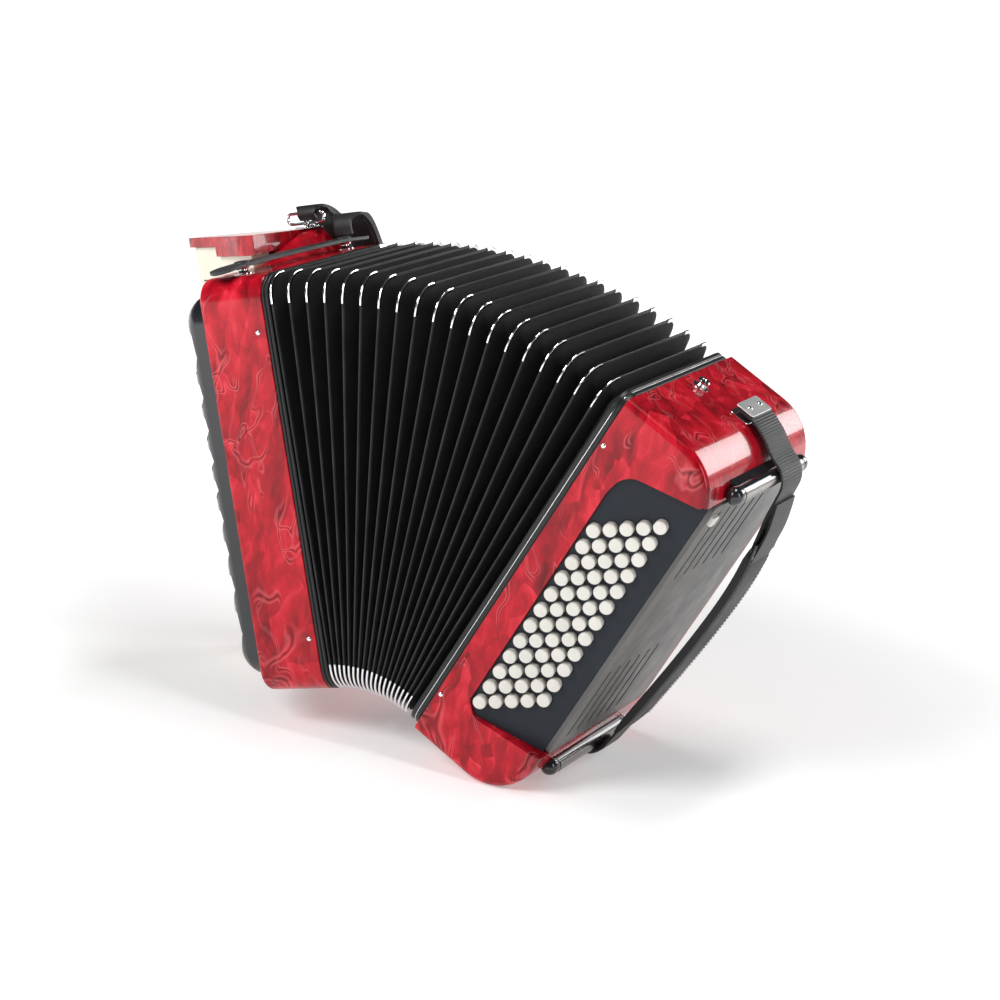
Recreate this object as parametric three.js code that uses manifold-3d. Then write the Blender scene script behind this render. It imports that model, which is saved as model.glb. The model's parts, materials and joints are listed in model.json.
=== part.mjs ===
// A small piano accordion, standing by itself in a V on the foot of its keyboard and on the lower
// corner of its bass case. All lengths are in millimetres and +Z is up.
//
// Three frames are used. The treble frame has X from the treble case towards the bass, Y from the
// front of the instrument to its back, and Z along the case. Each bellows section and the bass case
// have the same frame, turned about Y as the bellows fans out.
import * as THREE from "three";
import { mergeVertices } from "three/addons/utils/BufferGeometryUtils.js";
import Module from "manifold-3d";

const wasm = await Module();
wasm.setup();

// Driving dimensions
const CASE_HEIGHT = 325;
const CASE_DEPTH = 190;
const CASE_CORNER = 18;
const WALL = 5;
const GAP = 0.3;

// Bellows: the ridges touch at the bottom and fan out at the top
const RIDGE_COUNT = 19;
const RIDGE_PITCH = 3.3;
const RIDGE_ANGLE = THREE.MathUtils.degToRad(2.302);
const RIDGES_PER_SECTION = 3;
const SECTION_COUNT = 6;
const SECTION_THICKNESS = RIDGES_PER_SECTION * RIDGE_PITCH - 0.6;
const FOLD_DEPTH = 22;

// Treble side, with the ramp and hump behind the top of the keyboard
const TREBLE_LEFT = -66;
const TREBLE_FRAME_LEFT = -8.7;
const TREBLE_FRAME_RIGHT = -2.5;
const TREBLE_EDGE = 4;
const FRAME_WIDTH = 12;
const HUMP_WIDTH = 18;
const RAMP_START = 95;
const RAMP_END = 165;

// Grille, which bulges over the valves in front of the keys
const GRILLE_MARGIN = 12;
const GRILLE_LEFT = -108;
const GRILLE_BACK = 86;
const GRILLE_WALL = 3;
const GRILLE_EDGE = 12;
const GRILLE_OPENINGS = 8;
const GRILLE_PITCH = 30;
const GRILLE_LEAN = THREE.MathUtils.degToRad(24);

// Keyboard: white keys from B at the top to C at the bottom, slanting back from the grille to the
// outer edge. White keys are counted from the top, where the low notes are.
const WHITE_COUNT = 16;
const KEY_PITCH = 19.8;
const KEY_CLEARANCE = 1.0;
const KEY_LENGTH = 94;
const KEY_THICKNESS = 14;
const BLACK_START = 36;
const BLACK_WIDTH = 10;
const BLACK_RISE = 10;
const KEYBOARD_SLANT = THREE.MathUtils.degToRad(-28);
const KEY_TIP_X = -160;
const KEY_TIP_Y = 144;
const KEYBOARD_LENGTH = WHITE_COUNT * KEY_PITCH;
const KEYBOARD_BOTTOM = 16.6;
const KEYBOARD_TOP = KEYBOARD_BOTTOM + KEYBOARD_LENGTH;
const ROD_RADIUS = 2;
const ROD_X = KEY_LENGTH - 4;
const CHEEK_THICKNESS = 16;
const CHEEK_EDGE = 2;
const CHEEK_TIP_X = -166;
const CHEEK_TOP = KEYBOARD_TOP + CHEEK_THICKNESS;
const CHEEK_FRONT = -3.5;
const CHEEK_SLOPE = THREE.MathUtils.degToRad(4.2);
const END_KEY_EXTRA = 8;
const END_KEY_TIP = 42;
const BED_LEVEL = 20.5;
const WHITES_BEFORE_BLACK = [1, 2, 4, 5, 6, 8, 9, 11, 12, 13];

// Bass side
const BASS_GAP = 3;
const BASS_FRAME_LEFT = 2;
const BASS_CASE_LEFT = 11;
const BASS_OUTER = 105;
const BASS_CORNER = 42;
const BASS_EDGE = 6;

// Button board, which slants back towards the outer side
const BOARD_LEFT = 35.5;
const BOARD_DEPTH = 2;
const BOARD_WIDTH = 66;
const BOARD_BOTTOM = 43.5;
const BOARD_TOP = 278.5;
const BOARD_BOTTOM_RISE = 0.15;
const BOARD_TOP_RISE = 0.26;
const BOARD_THICKNESS = 3;
const BOARD_SLANT = THREE.MathUtils.degToRad(10.3);
const BUTTON_ROWS = 12;
const BUTTON_ROW_PITCH = 15.5;
const FIRST_BUTTON_X = 7;
const FIRST_BUTTON_Z = 57;
const BUTTON_STEP_X = 9.7;
const BUTTON_STEP_Z = 8.25;
const BUTTON_RADIUS = 4.6;
const STEM_SIZE = 4.4;
const BUTTON_TRAVEL = 3;

// Outer cover with its sound slots, and the foot bars beside it
const COVER_THICKNESS = 4;
const COVER_FRONT = 14.5;
const COVER_BACK = 181;
const COVER_BOTTOM = 52;
const COVER_TOP = 296;
const SLOT_COUNT = 6;
const SLOT_PITCH = 17;
const SLOT_WIDTH = 2.6;
const SLOT_LENGTH = 67;
const AIR_Y = COVER_FRONT + 7.5;
const AIR_Z = COVER_TOP - 12;
const AIR_HALF = 4.2;
const FOOT_RADIUS = 7;
const FOOT_LENGTH = 134;
const FOOT_START = 28;
const TOP_FOOT_HEIGHT = 304;
const BOTTOM_FOOT_HEIGHT = 34;

// Straps, and the strap ring over the upper cheek
const STRAP_WIDTH = 40;
const STRAP_MIDDLE = 118;
const WEBBING_THICKNESS = 3;
const PAD_THICKNESS = 8;
const SHOULDER_STRAP_WIDTH = 26;
const BELLOWS_STRAP_WIDTH = 18;
const RING_X = -65;
const RING_Y = 169;
const RING_BOTTOM = 347.4;
const RING_WIDTH = 37;
const RING_HEIGHT = 11;
const RING_WIRE = 2.6;
const BRACKET_X = 72;
const BRACKET_Y = 66;

// Reed blocks: the floor behind the chambers, and the walls between and beside them
const REED_FLOOR = 6;
const REED_WALL = 4;

const red = { color: 0xb01020, roughness: 0.18, metalness: 0 };
const blackPlastic = { color: 0x16171a, roughness: 0.35, metalness: 0 };
const cloth = { color: 0x101012, roughness: 0.8, metalness: 0 };
const chrome = { color: 0xd8d8dc, roughness: 0.15, metalness: 1 };
const cream = { color: 0xf4f1e6, roughness: 0.25, metalness: 0 };
const webbing = { color: 0x1b1b1d, roughness: 0.85, metalness: 0 };
const leather = { color: 0x202124, roughness: 0.5, metalness: 0 };
const satinBlack = { color: 0x2c2d2f, roughness: 0.45, metalness: 0.2 };
const wood = { color: 0xb98d5a, roughness: 0.7, metalness: 0 };
const steel = { color: 0x9a9ca0, roughness: 0.3, metalness: 1 };

// A manifold solid from a closed three.js geometry
function solid(geometry) {
  const bare = geometry.index ? geometry.toNonIndexed() : geometry.clone();
  for (const name of Object.keys(bare.attributes)) {
    if (name !== "position") bare.deleteAttribute(name);
  }
  const merged = mergeVertices(bare, 1e-4);
  const mesh = new wasm.Mesh({
    numProp: 3,
    vertProperties: new Float32Array(merged.attributes.position.array),
    triVerts: new Uint32Array(merged.index.array),
  });
  return new wasm.Manifold(mesh);
}

// A three.js geometry from a manifold solid
function shapeOf(manifold) {
  const mesh = manifold.getMesh();
  const geometry = new THREE.BufferGeometry();
  geometry.setAttribute("position", new THREE.BufferAttribute(mesh.vertProperties, 3));
  geometry.setIndex(new THREE.BufferAttribute(mesh.triVerts, 1));
  geometry.computeVertexNormals();
  return geometry;
}

// Adds one named piece to a group
function piece(group, name, geometry, look) {
  const mesh = new THREE.Mesh(geometry, new THREE.MeshStandardMaterial(look));
  mesh.name = name;
  group.add(mesh);
  return mesh;
}

// A box from its lowest and highest corners
function block(low, high) {
  const size = high.map((value, axis) => value - low[axis]);
  const middle = high.map((value, axis) => (value + low[axis]) / 2);
  return new THREE.BoxGeometry(...size).translate(...middle);
}

// A rectangle with round corners, from its lowest and highest corners
function roundedRectangle(left, bottom, right, top, radius) {
  const shape = new THREE.Shape();
  shape.moveTo(left + radius, bottom);
  shape.lineTo(right - radius, bottom);
  shape.absarc(right - radius, bottom + radius, radius, -Math.PI / 2, 0);
  shape.absarc(right - radius, top - radius, radius, 0, Math.PI / 2);
  shape.absarc(left + radius, top - radius, radius, Math.PI / 2, Math.PI);
  shape.absarc(left + radius, bottom + radius, radius, Math.PI, Math.PI * 1.5);
  shape.closePath();
  return shape;
}

function polygon(points) {
  return new THREE.Shape(points.map(([x, y]) => new THREE.Vector2(x, y)));
}

// An extrusion whose end edges are rounded by edge, and whose outline stays as drawn
function extrude(shape, depth, edge = 0, curveSegments = 4) {
  return new THREE.ExtrudeGeometry(shape, {
    depth: depth - 2 * edge,
    curveSegments,
    bevelEnabled: edge > 0,
    bevelThickness: edge,
    bevelSize: edge,
    bevelOffset: -edge,
    bevelSegments: 3,
  }).translate(0, 0, edge);
}

// Outlines drawn in (Y, Z) and extruded along X from start
function alongX(shape, start, depth, edge = 0, curveSegments = 4) {
  const turned = new THREE.Matrix4().makeBasis(
    new THREE.Vector3(0, 1, 0),
    new THREE.Vector3(0, 0, 1),
    new THREE.Vector3(1, 0, 0),
  );
  return extrude(shape, depth, edge, curveSegments).applyMatrix4(turned).translate(start, 0, 0);
}

// Outlines drawn in (X, Z) and extruded along Y from start
function alongY(shape, start, depth, edge = 0, curveSegments = 4) {
  const turn = new THREE.Matrix4().makeRotationX(Math.PI / 2);
  return extrude(shape, depth, edge, curveSegments).applyMatrix4(turn).translate(0, start + depth, 0);
}

// The outline of a band that follows a smooth line, with a thickness that may change along it
function band(points, steps, thickness) {
  const line = new THREE.SplineCurve(points.map(([x, y]) => new THREE.Vector2(x, y)));
  const outer = [];
  const inner = [];
  for (let step = 0; step <= steps; step += 1) {
    const share = step / steps;
    const place = line.getPoint(share);
    const along = line.getTangent(share);
    const half = (typeof thickness === "number" ? thickness : thickness(share)) / 2;
    outer.push(new THREE.Vector2(place.x - along.y * half, place.y + along.x * half));
    inner.unshift(new THREE.Vector2(place.x + along.y * half, place.y - along.x * half));
  }
  return new THREE.Shape([...outer, ...inner]);
}

// Where the bottom of each ridge is, and how far it leans, in the treble frame
function ridgePlaces() {
  const places = [{ x: 0, z: 0, lean: 0 }];
  for (let ridge = 1; ridge < RIDGE_COUNT; ridge += 1) {
    const last = places[ridge - 1];
    const between = last.lean + RIDGE_ANGLE / 2;
    places.push({
      x: last.x + RIDGE_PITCH * Math.cos(between),
      z: last.z - RIDGE_PITCH * Math.sin(between),
      lean: last.lean + RIDGE_ANGLE,
    });
  }
  return places;
}

function placedGroup(parent, place) {
  const group = new THREE.Group();
  group.position.set(place.x, 0, place.z);
  group.rotation.y = place.lean;
  parent.add(group);
  return group;
}

const caseOutline = () => roundedRectangle(0, 0, CASE_DEPTH, CASE_HEIGHT, CASE_CORNER);

// A flat ring with the outline of the case and an opening of the given rim
function rim(start, depth, width) {
  const shape = caseOutline();
  const far = CASE_DEPTH - width;
  shape.holes.push(roundedRectangle(width, width, far, CASE_HEIGHT - width, CASE_CORNER / 3));
  return alongX(shape, start, depth, 0, 3);
}

// Everything above the top of the keyboard, which slopes down towards the back
function aboveCheek() {
  return solid(new THREE.BoxGeometry(400, 400, 100)
    .translate(0, 0, 50)
    .rotateX(-CHEEK_SLOPE)
    .translate(0, CHEEK_FRONT, CHEEK_TOP)
    .rotateZ(KEYBOARD_SLANT)
    .translate(KEY_TIP_X, KEY_TIP_Y, 0));
}

// Treble case: a red shell, open towards the bellows
function trebleCase(group) {
  const depth = TREBLE_FRAME_LEFT - GAP - TREBLE_LEFT;
  const outside = solid(alongX(caseOutline(), TREBLE_LEFT, depth + 10, TREBLE_EDGE));
  const right = TREBLE_FRAME_LEFT - GAP;
  const beyond = solid(block([right, -10, -10], [right + 20, CASE_DEPTH + 10, CASE_HEIGHT + 10]));
  const far = CASE_DEPTH - WALL;
  const inner = roundedRectangle(WALL, WALL, far, CASE_HEIGHT - WALL, CASE_CORNER - WALL);
  const hollow = solid(alongX(inner, TREBLE_LEFT + WALL, depth + 10, 0, 2));
  const humpTop = CHEEK_TOP - 1;
  const humpBase = CASE_HEIGHT - TREBLE_EDGE;
  const hump = solid(alongY(polygon([
    [TREBLE_LEFT, humpBase],
    [TREBLE_LEFT + HUMP_WIDTH, humpBase],
    [TREBLE_LEFT + HUMP_WIDTH, CASE_HEIGHT],
    [TREBLE_LEFT + HUMP_WIDTH / 3, humpTop],
    [TREBLE_LEFT, humpTop],
  ]), RAMP_START, CASE_DEPTH - TREBLE_EDGE - RAMP_START));
  const ramp = solid(alongX(polygon([
    [RAMP_START - 20, CASE_HEIGHT],
    [RAMP_START - 20, humpTop + 20],
    [RAMP_END + 20, humpTop + 20],
    [RAMP_END, humpTop],
    [RAMP_START, CASE_HEIGHT],
  ]), TREBLE_LEFT - 5, HUMP_WIDTH + 20));
  const shell = outside.subtract(beyond).subtract(hollow).add(hump.subtract(ramp).subtract(aboveCheek()));
  piece(group, "treble_case", shapeOf(shell), red);
  const frame = rim(TREBLE_FRAME_LEFT, TREBLE_FRAME_RIGHT - TREBLE_FRAME_LEFT, FRAME_WIDTH);
  piece(group, "treble_bellows_frame", frame, blackPlastic);
}

// A reed block: a bar with one chamber after another, each open towards the bellows
function reedBlock(start, depth, low, high, chambers) {
  let bar = solid(block([start, low[0], low[1]], [start + depth, high[0], high[1]]));
  const pitch = (high[1] - low[1]) / chambers;
  for (let chamber = 0; chamber < chambers; chamber += 1) {
    const bottom = low[1] + pitch * chamber + REED_WALL / 2;
    const cut = block(
      [start + REED_FLOOR, low[0] + REED_WALL, bottom],
      [start + depth + 1, high[0] - REED_WALL, bottom + pitch - REED_WALL],
    );
    bar = bar.subtract(solid(cut));
  }
  return shapeOf(bar);
}

// Grille: a bulging black shell over the valves, closed at both ends and open towards the keys
function grille(group) {
  const length = CASE_HEIGHT - 2 * GRILLE_MARGIN;
  const right = TREBLE_LEFT - GAP;
  const beyond = GRILLE_BACK + 24;
  const bulge = (inset) => {
    const left = GRILLE_LEFT + inset;
    const shape = new THREE.Shape();
    shape.moveTo(right + 20, 2 + inset);
    shape.lineTo(-74, 2 + inset);
    shape.bezierCurveTo(left + 20, 4 + inset, left + 8, 32, left, GRILLE_BACK);
    shape.lineTo(left, beyond);
    shape.lineTo(right + 20, beyond);
    shape.closePath();
    return shape;
  };
  const inside = extrude(bulge(GRILLE_WALL), length - 2 * GRILLE_WALL, GRILLE_EDGE - 2, 6);
  const outside = solid(extrude(bulge(0), length, GRILLE_EDGE, 6).translate(0, 0, GRILLE_MARGIN));
  const hollow = solid(inside.translate(0, 0, GRILLE_MARGIN + GRILLE_WALL));
  const beyondCase = solid(block([right, -10, 0], [0, beyond + 10, CASE_HEIGHT]));
  const beyondKeys = solid(block([GRILLE_LEFT - 10, GRILLE_BACK, 0], [0, beyond + 10, CASE_HEIGHT]));
  let shell = outside.subtract(hollow).subtract(beyondCase).subtract(beyondKeys);
  const first = CASE_HEIGHT / 2 - (GRILLE_PITCH * (GRILLE_OPENINGS - 1)) / 2;
  for (let opening = 0; opening < GRILLE_OPENINGS; opening += 1) {
    const cut = new THREE.BoxGeometry(40, GRILLE_BACK / 2, GRILLE_PITCH / 2)
      .rotateY(GRILLE_LEAN)
      .translate(GRILLE_LEFT, GRILLE_BACK / 2, first + GRILLE_PITCH * opening);
    shell = shell.subtract(solid(cut));
  }
  piece(group, "treble_grille", shapeOf(shell), blackPlastic);
}

// The keyboard's own frame: X inwards along a key, Y into the keyboard, Z along the case
function keyboardGroup(parent) {
  const group = new THREE.Group();
  group.position.set(KEY_TIP_X, KEY_TIP_Y, 0);
  group.rotation.z = KEYBOARD_SLANT;
  parent.add(group);
  return group;
}

function hasBlackAfter(white) {
  return WHITES_BEFORE_BLACK.includes(white);
}

// White key, drawn from its upper side downwards: full width at the tip, and narrower beside its
// black keys. The two end keys have a tip that reaches under the thin outer part of their cheek.
function whiteKey(white) {
  const first = white === 0;
  const last = white === WHITE_COUNT - 1;
  const side = KEY_CLEARANCE / 2;
  const notch = BLACK_WIDTH / 2 + side;
  const tipStart = first ? side - END_KEY_EXTRA : side;
  const tipEnd = KEY_PITCH - side + (last ? END_KEY_EXTRA : 0);
  const tailStart = hasBlackAfter(white - 1) ? notch : side;
  const tailEnd = KEY_PITCH - (hasBlackAfter(white) ? notch : side);
  const neck = first || last ? END_KEY_TIP : BLACK_START - 1;
  const points = [[0, tipStart], [neck, tipStart]];
  if (tailStart > tipStart) points.push([neck, tailStart]);
  points.push([KEY_LENGTH, tailStart], [KEY_LENGTH, tailEnd]);
  if (tailEnd < tipEnd) points.push([neck, tailEnd]);
  points.push([neck, tipEnd], [0, tipEnd]);
  return alongY(polygon(points.map(([x, down]) => [x, -down])), 0, KEY_THICKNESS);
}

// Black key: a bar with a sloping front, drawn from the side
function blackKey() {
  const side = polygon([
    [BLACK_START, KEY_THICKNESS],
    [BLACK_START, 0],
    [BLACK_START + 4, -BLACK_RISE],
    [KEY_LENGTH, -BLACK_RISE],
    [KEY_LENGTH, KEY_THICKNESS],
  ]);
  return extrude(side, BLACK_WIDTH).translate(0, 0, -BLACK_WIDTH / 2);
}

function keys(keyboard) {
  const letters = ["b", "c", "d", "e", "f", "g", "a"];
  for (let white = 0; white < WHITE_COUNT; white += 1) {
    const top = KEYBOARD_TOP - white * KEY_PITCH;
    const octave = 3 + Math.floor((white + 6) / 7);
    const letter = letters[white % 7];
    piece(keyboard, `key_${letter}${octave}`, whiteKey(white), cream).position.z = top;
    if (hasBlackAfter(white)) {
      const name = `key_${letter}${octave}_sharp`;
      piece(keyboard, name, blackKey(), blackPlastic).position.z = top - KEY_PITCH;
    }
  }
}

// The red bed under the keys, the cheeks at its ends, and the rod that the keys turn on
function keyboardBed(group, keyboard) {
  const along = [Math.cos(KEYBOARD_SLANT), Math.sin(KEYBOARD_SLANT)];
  const local = (x, y) => [
    KEY_TIP_X + x * along[0] - y * along[1],
    KEY_TIP_Y + x * along[1] + y * along[0],
  ];
  const right = TREBLE_LEFT - GAP;
  const bedOuter = [local(-7, 7), [CHEEK_TIP_X, 160], [-162, 170], [-148, 180], [-124, CASE_DEPTH]];
  const bedFront = [local(KEY_LENGTH, BED_LEVEL), local(-4, BED_LEVEL), local(-4, 7)];
  const bed = polygon([...bedFront, ...bedOuter, [right, CASE_DEPTH], [right, 120]]);
  const bedBottom = KEYBOARD_BOTTOM + GAP;
  const bedBlock = extrude(bed, KEYBOARD_LENGTH - 2 * GAP).translate(0, 0, bedBottom);
  piece(group, "keyboard_bed", bedBlock, red);
  const cheek = polygon([
    [right, GRILLE_BACK + 3],
    local(KEY_LENGTH - 2, -8),
    local(60, -5),
    local(0, CHEEK_FRONT),
    local(-7, -1),
    ...bedOuter,
    [right, CASE_DEPTH],
  ]);
  const plate = solid(extrude(cheek, CHEEK_THICKNESS, CHEEK_EDGE));
  const relief = (bottom) => {
    const box = block([-4, -20, bottom], [END_KEY_TIP + 1, BED_LEVEL, bottom + END_KEY_EXTRA + 1]);
    return solid(box.rotateZ(KEYBOARD_SLANT).translate(KEY_TIP_X, KEY_TIP_Y, 0));
  };
  const lower = plate.subtract(relief(CHEEK_THICKNESS - END_KEY_EXTRA));
  const upper = plate.subtract(relief(-1)).subtract(aboveCheek().translate([0, 0, -KEYBOARD_TOP]));
  piece(group, "cheek_bottom", shapeOf(lower), red).position.z = KEYBOARD_BOTTOM - CHEEK_THICKNESS;
  piece(group, "cheek_top", shapeOf(upper), red).position.z = KEYBOARD_TOP;
  const length = KEYBOARD_LENGTH - 4 * GAP;
  const rod = new THREE.CylinderGeometry(ROD_RADIUS, ROD_RADIUS, length, 10).rotateX(Math.PI / 2);
  const rodPiece = piece(keyboard, "key_rod", rod, steel);
  const rodMiddle = KEYBOARD_BOTTOM + KEYBOARD_LENGTH / 2;
  rodPiece.position.set(ROD_X, KEY_THICKNESS + ROD_RADIUS + GAP, rodMiddle);
}

// Shoulder strap, hung behind the treble case: it loops over a ring at Y = start, then falls
function shoulderStrap(group, name, left, start, top) {
  const back = CASE_DEPTH;
  const line = [
    [start, top - 1],
    [start + 8, top],
    [start + 18, top - 4],
    [back + 11, top - 18],
    [back + 19, CASE_HEIGHT - 15],
    [back + 32, CASE_HEIGHT - 60],
    [back + 36, CASE_HEIGHT / 2],
    [back + 26, 60],
    [back + 6, 26],
  ];
  const thickness = (share) => (share > 0.35 && share < 0.9 ? PAD_THICKNESS - 1 : WEBBING_THICKNESS);
  piece(group, name, alongX(band(line, 24, thickness), left, SHOULDER_STRAP_WIDTH), leather);
}

// The strap that holds the bellows shut, lying over its studs on top of the case, and the bracket
// and ring of a shoulder strap
function trebleTop(group) {
  const top = CASE_HEIGHT;
  const line = [[0, top + 4], [10, top + 6.5], [40, top + 7.5], [150, top + 7.5], [180, top + 6]];
  const width = BELLOWS_STRAP_WIDTH;
  const strapBand = alongX(band(line, 12, WEBBING_THICKNESS), -width / 2, width);
  const strap = piece(group, "bellows_strap", strapBand, leather);
  strap.position.set(-43, 4, 0);
  strap.rotation.z = THREE.MathUtils.degToRad(-5);
  const slope = new THREE.Group();
  slope.position.set(KEY_TIP_X, KEY_TIP_Y, CHEEK_TOP);
  slope.rotation.set(-CHEEK_SLOPE, 0, KEYBOARD_SLANT, "ZYX");
  group.add(slope);
  const plate = solid(block([-9, -7, GAP], [9, 12, 1.6]));
  const post = solid(block([-3, -3, 1.2], [3, 3, 2.4]));
  const bracket = piece(slope, "strap_bracket", shapeOf(plate.add(post)), chrome);
  bracket.position.set(BRACKET_X, BRACKET_Y, 0);
  const half = RING_WIDTH / 2;
  const outline = roundedRectangle(-half, 0, half, RING_HEIGHT, 5);
  const wire = RING_WIRE;
  outline.holes.push(roundedRectangle(wire - half, wire, half - wire, RING_HEIGHT - wire, 3));
  const ring = alongY(outline, -wire / 2, wire, 0, 3);
  piece(group, "strap_ring", ring, chrome).position.set(RING_X, RING_Y, RING_BOTTOM);
}

// Outline of the bass case in (X, Z), with two large round corners on its outer side
function bassOutline(inset, left) {
  const radius = BASS_CORNER - inset;
  const right = BASS_OUTER - inset;
  const high = CASE_HEIGHT - inset;
  const shape = new THREE.Shape();
  shape.moveTo(left, inset);
  shape.lineTo(right - radius, inset);
  shape.absarc(right - radius, inset + radius, radius, -Math.PI / 2, 0);
  shape.absarc(right - radius, high - radius, radius, 0, Math.PI / 2);
  shape.lineTo(left, high);
  shape.closePath();
  return shape;
}

// Bass case: a red shell, open towards the bellows, with openings for the board and the cover
function bassCase(group) {
  const startLeft = BASS_CASE_LEFT - 20;
  const outside = solid(alongY(bassOutline(0, startLeft), 0, CASE_DEPTH, BASS_EDGE, 5));
  const innerDepth = CASE_DEPTH - 2 * WALL;
  const inner = alongY(bassOutline(WALL, startLeft - 1), WALL, innerDepth, BASS_EDGE - 4, 3);
  const hollow = solid(inner);
  const beyond = solid(block(
    [startLeft - 5, -5, -5],
    [BASS_CASE_LEFT, CASE_DEPTH + 5, CASE_HEIGHT + 5],
  ));
  const recess = BOARD_THICKNESS + GAP;
  const grown = alongY(boardOutline(GAP, 20), recess - 30, 30);
  const front = solid(grown.rotateZ(BOARD_SLANT).translate(BOARD_LEFT, BOARD_DEPTH, 0));
  const side = solid(block(
    [BASS_OUTER - WALL - 1, -5, COVER_BOTTOM - GAP],
    [BASS_OUTER + 5, COVER_BACK + GAP, COVER_TOP + GAP],
  ));
  const pocket = solid(block(
    [BASS_OUTER - 16, AIR_Y - AIR_HALF - GAP, AIR_Z - AIR_HALF - GAP],
    [BASS_OUTER + 5, AIR_Y + AIR_HALF + GAP, AIR_Z + AIR_HALF + GAP],
  ));
  const opened = outside.subtract(beyond).subtract(hollow).subtract(front);
  const shell = opened.subtract(side).subtract(pocket);
  piece(group, "bass_case", shapeOf(shell), red);
  const frame = rim(BASS_FRAME_LEFT, BASS_CASE_LEFT - GAP - BASS_FRAME_LEFT, FRAME_WIDTH);
  piece(group, "bass_bellows_frame", frame, blackPlastic);
}

// Places of the buttons on the board, in the board's own frame
function buttonPlace(row, column) {
  return {
    x: FIRST_BUTTON_X + column * BUTTON_STEP_X,
    z: FIRST_BUTTON_Z + row * BUTTON_ROW_PITCH + column * BUTTON_STEP_Z,
  };
}

// The board's outline in its own frame, grown by a margin, and further on its open outer side.
// Its lower and upper edges rise towards that side.
function boardOutline(margin, outerMargin) {
  const right = BOARD_WIDTH + outerMargin;
  const bottom = BOARD_BOTTOM - margin;
  const top = BOARD_TOP + margin;
  const lowerCut = 9;
  const upperCut = 3.5;
  return polygon([
    [-margin, BOARD_BOTTOM + 9.5],
    [lowerCut, bottom],
    [right, bottom + BOARD_BOTTOM_RISE * (right - lowerCut)],
    [right, top + BOARD_TOP_RISE * (right - upperCut)],
    [upperCut, top],
    [-margin, BOARD_TOP - 17.5],
  ]);
}

// Button board: X across it, Y into the case, with a square hole for each button's stem
function buttonBoard(board) {
  const outline = boardOutline(0, 0);
  const hole = STEM_SIZE / 2 + GAP;
  const names = ["counterbass", "bass", "major_chord", "minor_chord", "seventh_chord"];
  names.forEach((name, column) => {
    const barTop = BOARD_THICKNESS + BUTTON_TRAVEL;
    const last = buttonPlace(BUTTON_ROWS - 1, column);
    const first = buttonPlace(0, column);
    const half = STEM_SIZE / 2;
    let buttons = solid(block(
      [first.x - half, barTop, first.z - half],
      [first.x + half, barTop + 3, last.z + half],
    ));
    for (let row = 0; row < BUTTON_ROWS; row += 1) {
      const place = buttonPlace(row, column);
      outline.holes.push(new THREE.Path([
        new THREE.Vector2(place.x - hole, place.z - hole),
        new THREE.Vector2(place.x - hole, place.z + hole),
        new THREE.Vector2(place.x + hole, place.z + hole),
        new THREE.Vector2(place.x + hole, place.z - hole),
      ]));
      const stem = block(
        [place.x - half, -BUTTON_TRAVEL - 1, place.z - half],
        [place.x + half, barTop + 1, place.z + half],
      );
      const cap = new THREE.CylinderGeometry(BUTTON_RADIUS, BUTTON_RADIUS, 2.5, 8)
        .translate(place.x, -BUTTON_TRAVEL - 1.55, place.z);
      buttons = buttons.add(solid(stem)).add(solid(cap));
    }
    piece(board, `${name}_buttons`, shapeOf(buttons), cream);
  });
  piece(board, "bass_button_board", alongY(outline, 0, BOARD_THICKNESS), satinBlack);
}

// Outer cover: a plate with two groups of sound slots and a hole for the air button
function bassCover(group) {
  const inside = BASS_OUTER - COVER_THICKNESS;
  const outline = roundedRectangle(COVER_FRONT, COVER_BOTTOM, COVER_BACK, COVER_TOP, 6);
  let plate = solid(alongX(outline, inside, COVER_THICKNESS, 0, 3));
  const cut = (y, z, halfWidth, halfLength) => solid(block(
    [inside - 1, y - halfWidth, z - halfLength],
    [BASS_OUTER + 1, y + halfWidth, z + halfLength],
  ));
  const firstSlot = COVER_FRONT + 20;
  const half = SLOT_LENGTH / 2;
  for (let slot = 0; slot < SLOT_COUNT; slot += 1) {
    const y = firstSlot + slot * SLOT_PITCH;
    plate = plate.subtract(cut(y, COVER_BOTTOM + 12 + half, SLOT_WIDTH / 2, half));
    plate = plate.subtract(cut(y, COVER_TOP - 8 - half, SLOT_WIDTH / 2, half));
  }
  plate = plate.subtract(cut(AIR_Y, AIR_Z, AIR_HALF + GAP, AIR_HALF + GAP));
  piece(group, "bass_cover", shapeOf(plate), satinBlack);
  const air = block(
    [inside - 1, AIR_Y - AIR_HALF, AIR_Z - AIR_HALF],
    [BASS_OUTER + 3.5, AIR_Y + AIR_HALF, AIR_Z + AIR_HALF],
  );
  piece(group, "air_button", air, cream);
}

// A foot bar: a round-ended rod along the outer face, on a saddle that fits the case's round corner
function footBar(group, name, height) {
  const centre = BASS_OUTER + 2;
  const bar = new THREE.CapsuleGeometry(FOOT_RADIUS, FOOT_LENGTH - 2 * FOOT_RADIUS, 3, 10)
    .translate(centre, FOOT_START + FOOT_LENGTH / 2, height);
  const saddle = block(
    [BASS_OUTER - 12, FOOT_START + 12, height - 5],
    [centre + 1, FOOT_START + FOOT_LENGTH - 12, height + 5],
  );
  const within = solid(alongY(bassOutline(-GAP, 0), 0, CASE_DEPTH, 0, 5));
  piece(group, name, shapeOf(solid(bar).add(solid(saddle)).subtract(within)), blackPlastic);
}

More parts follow.
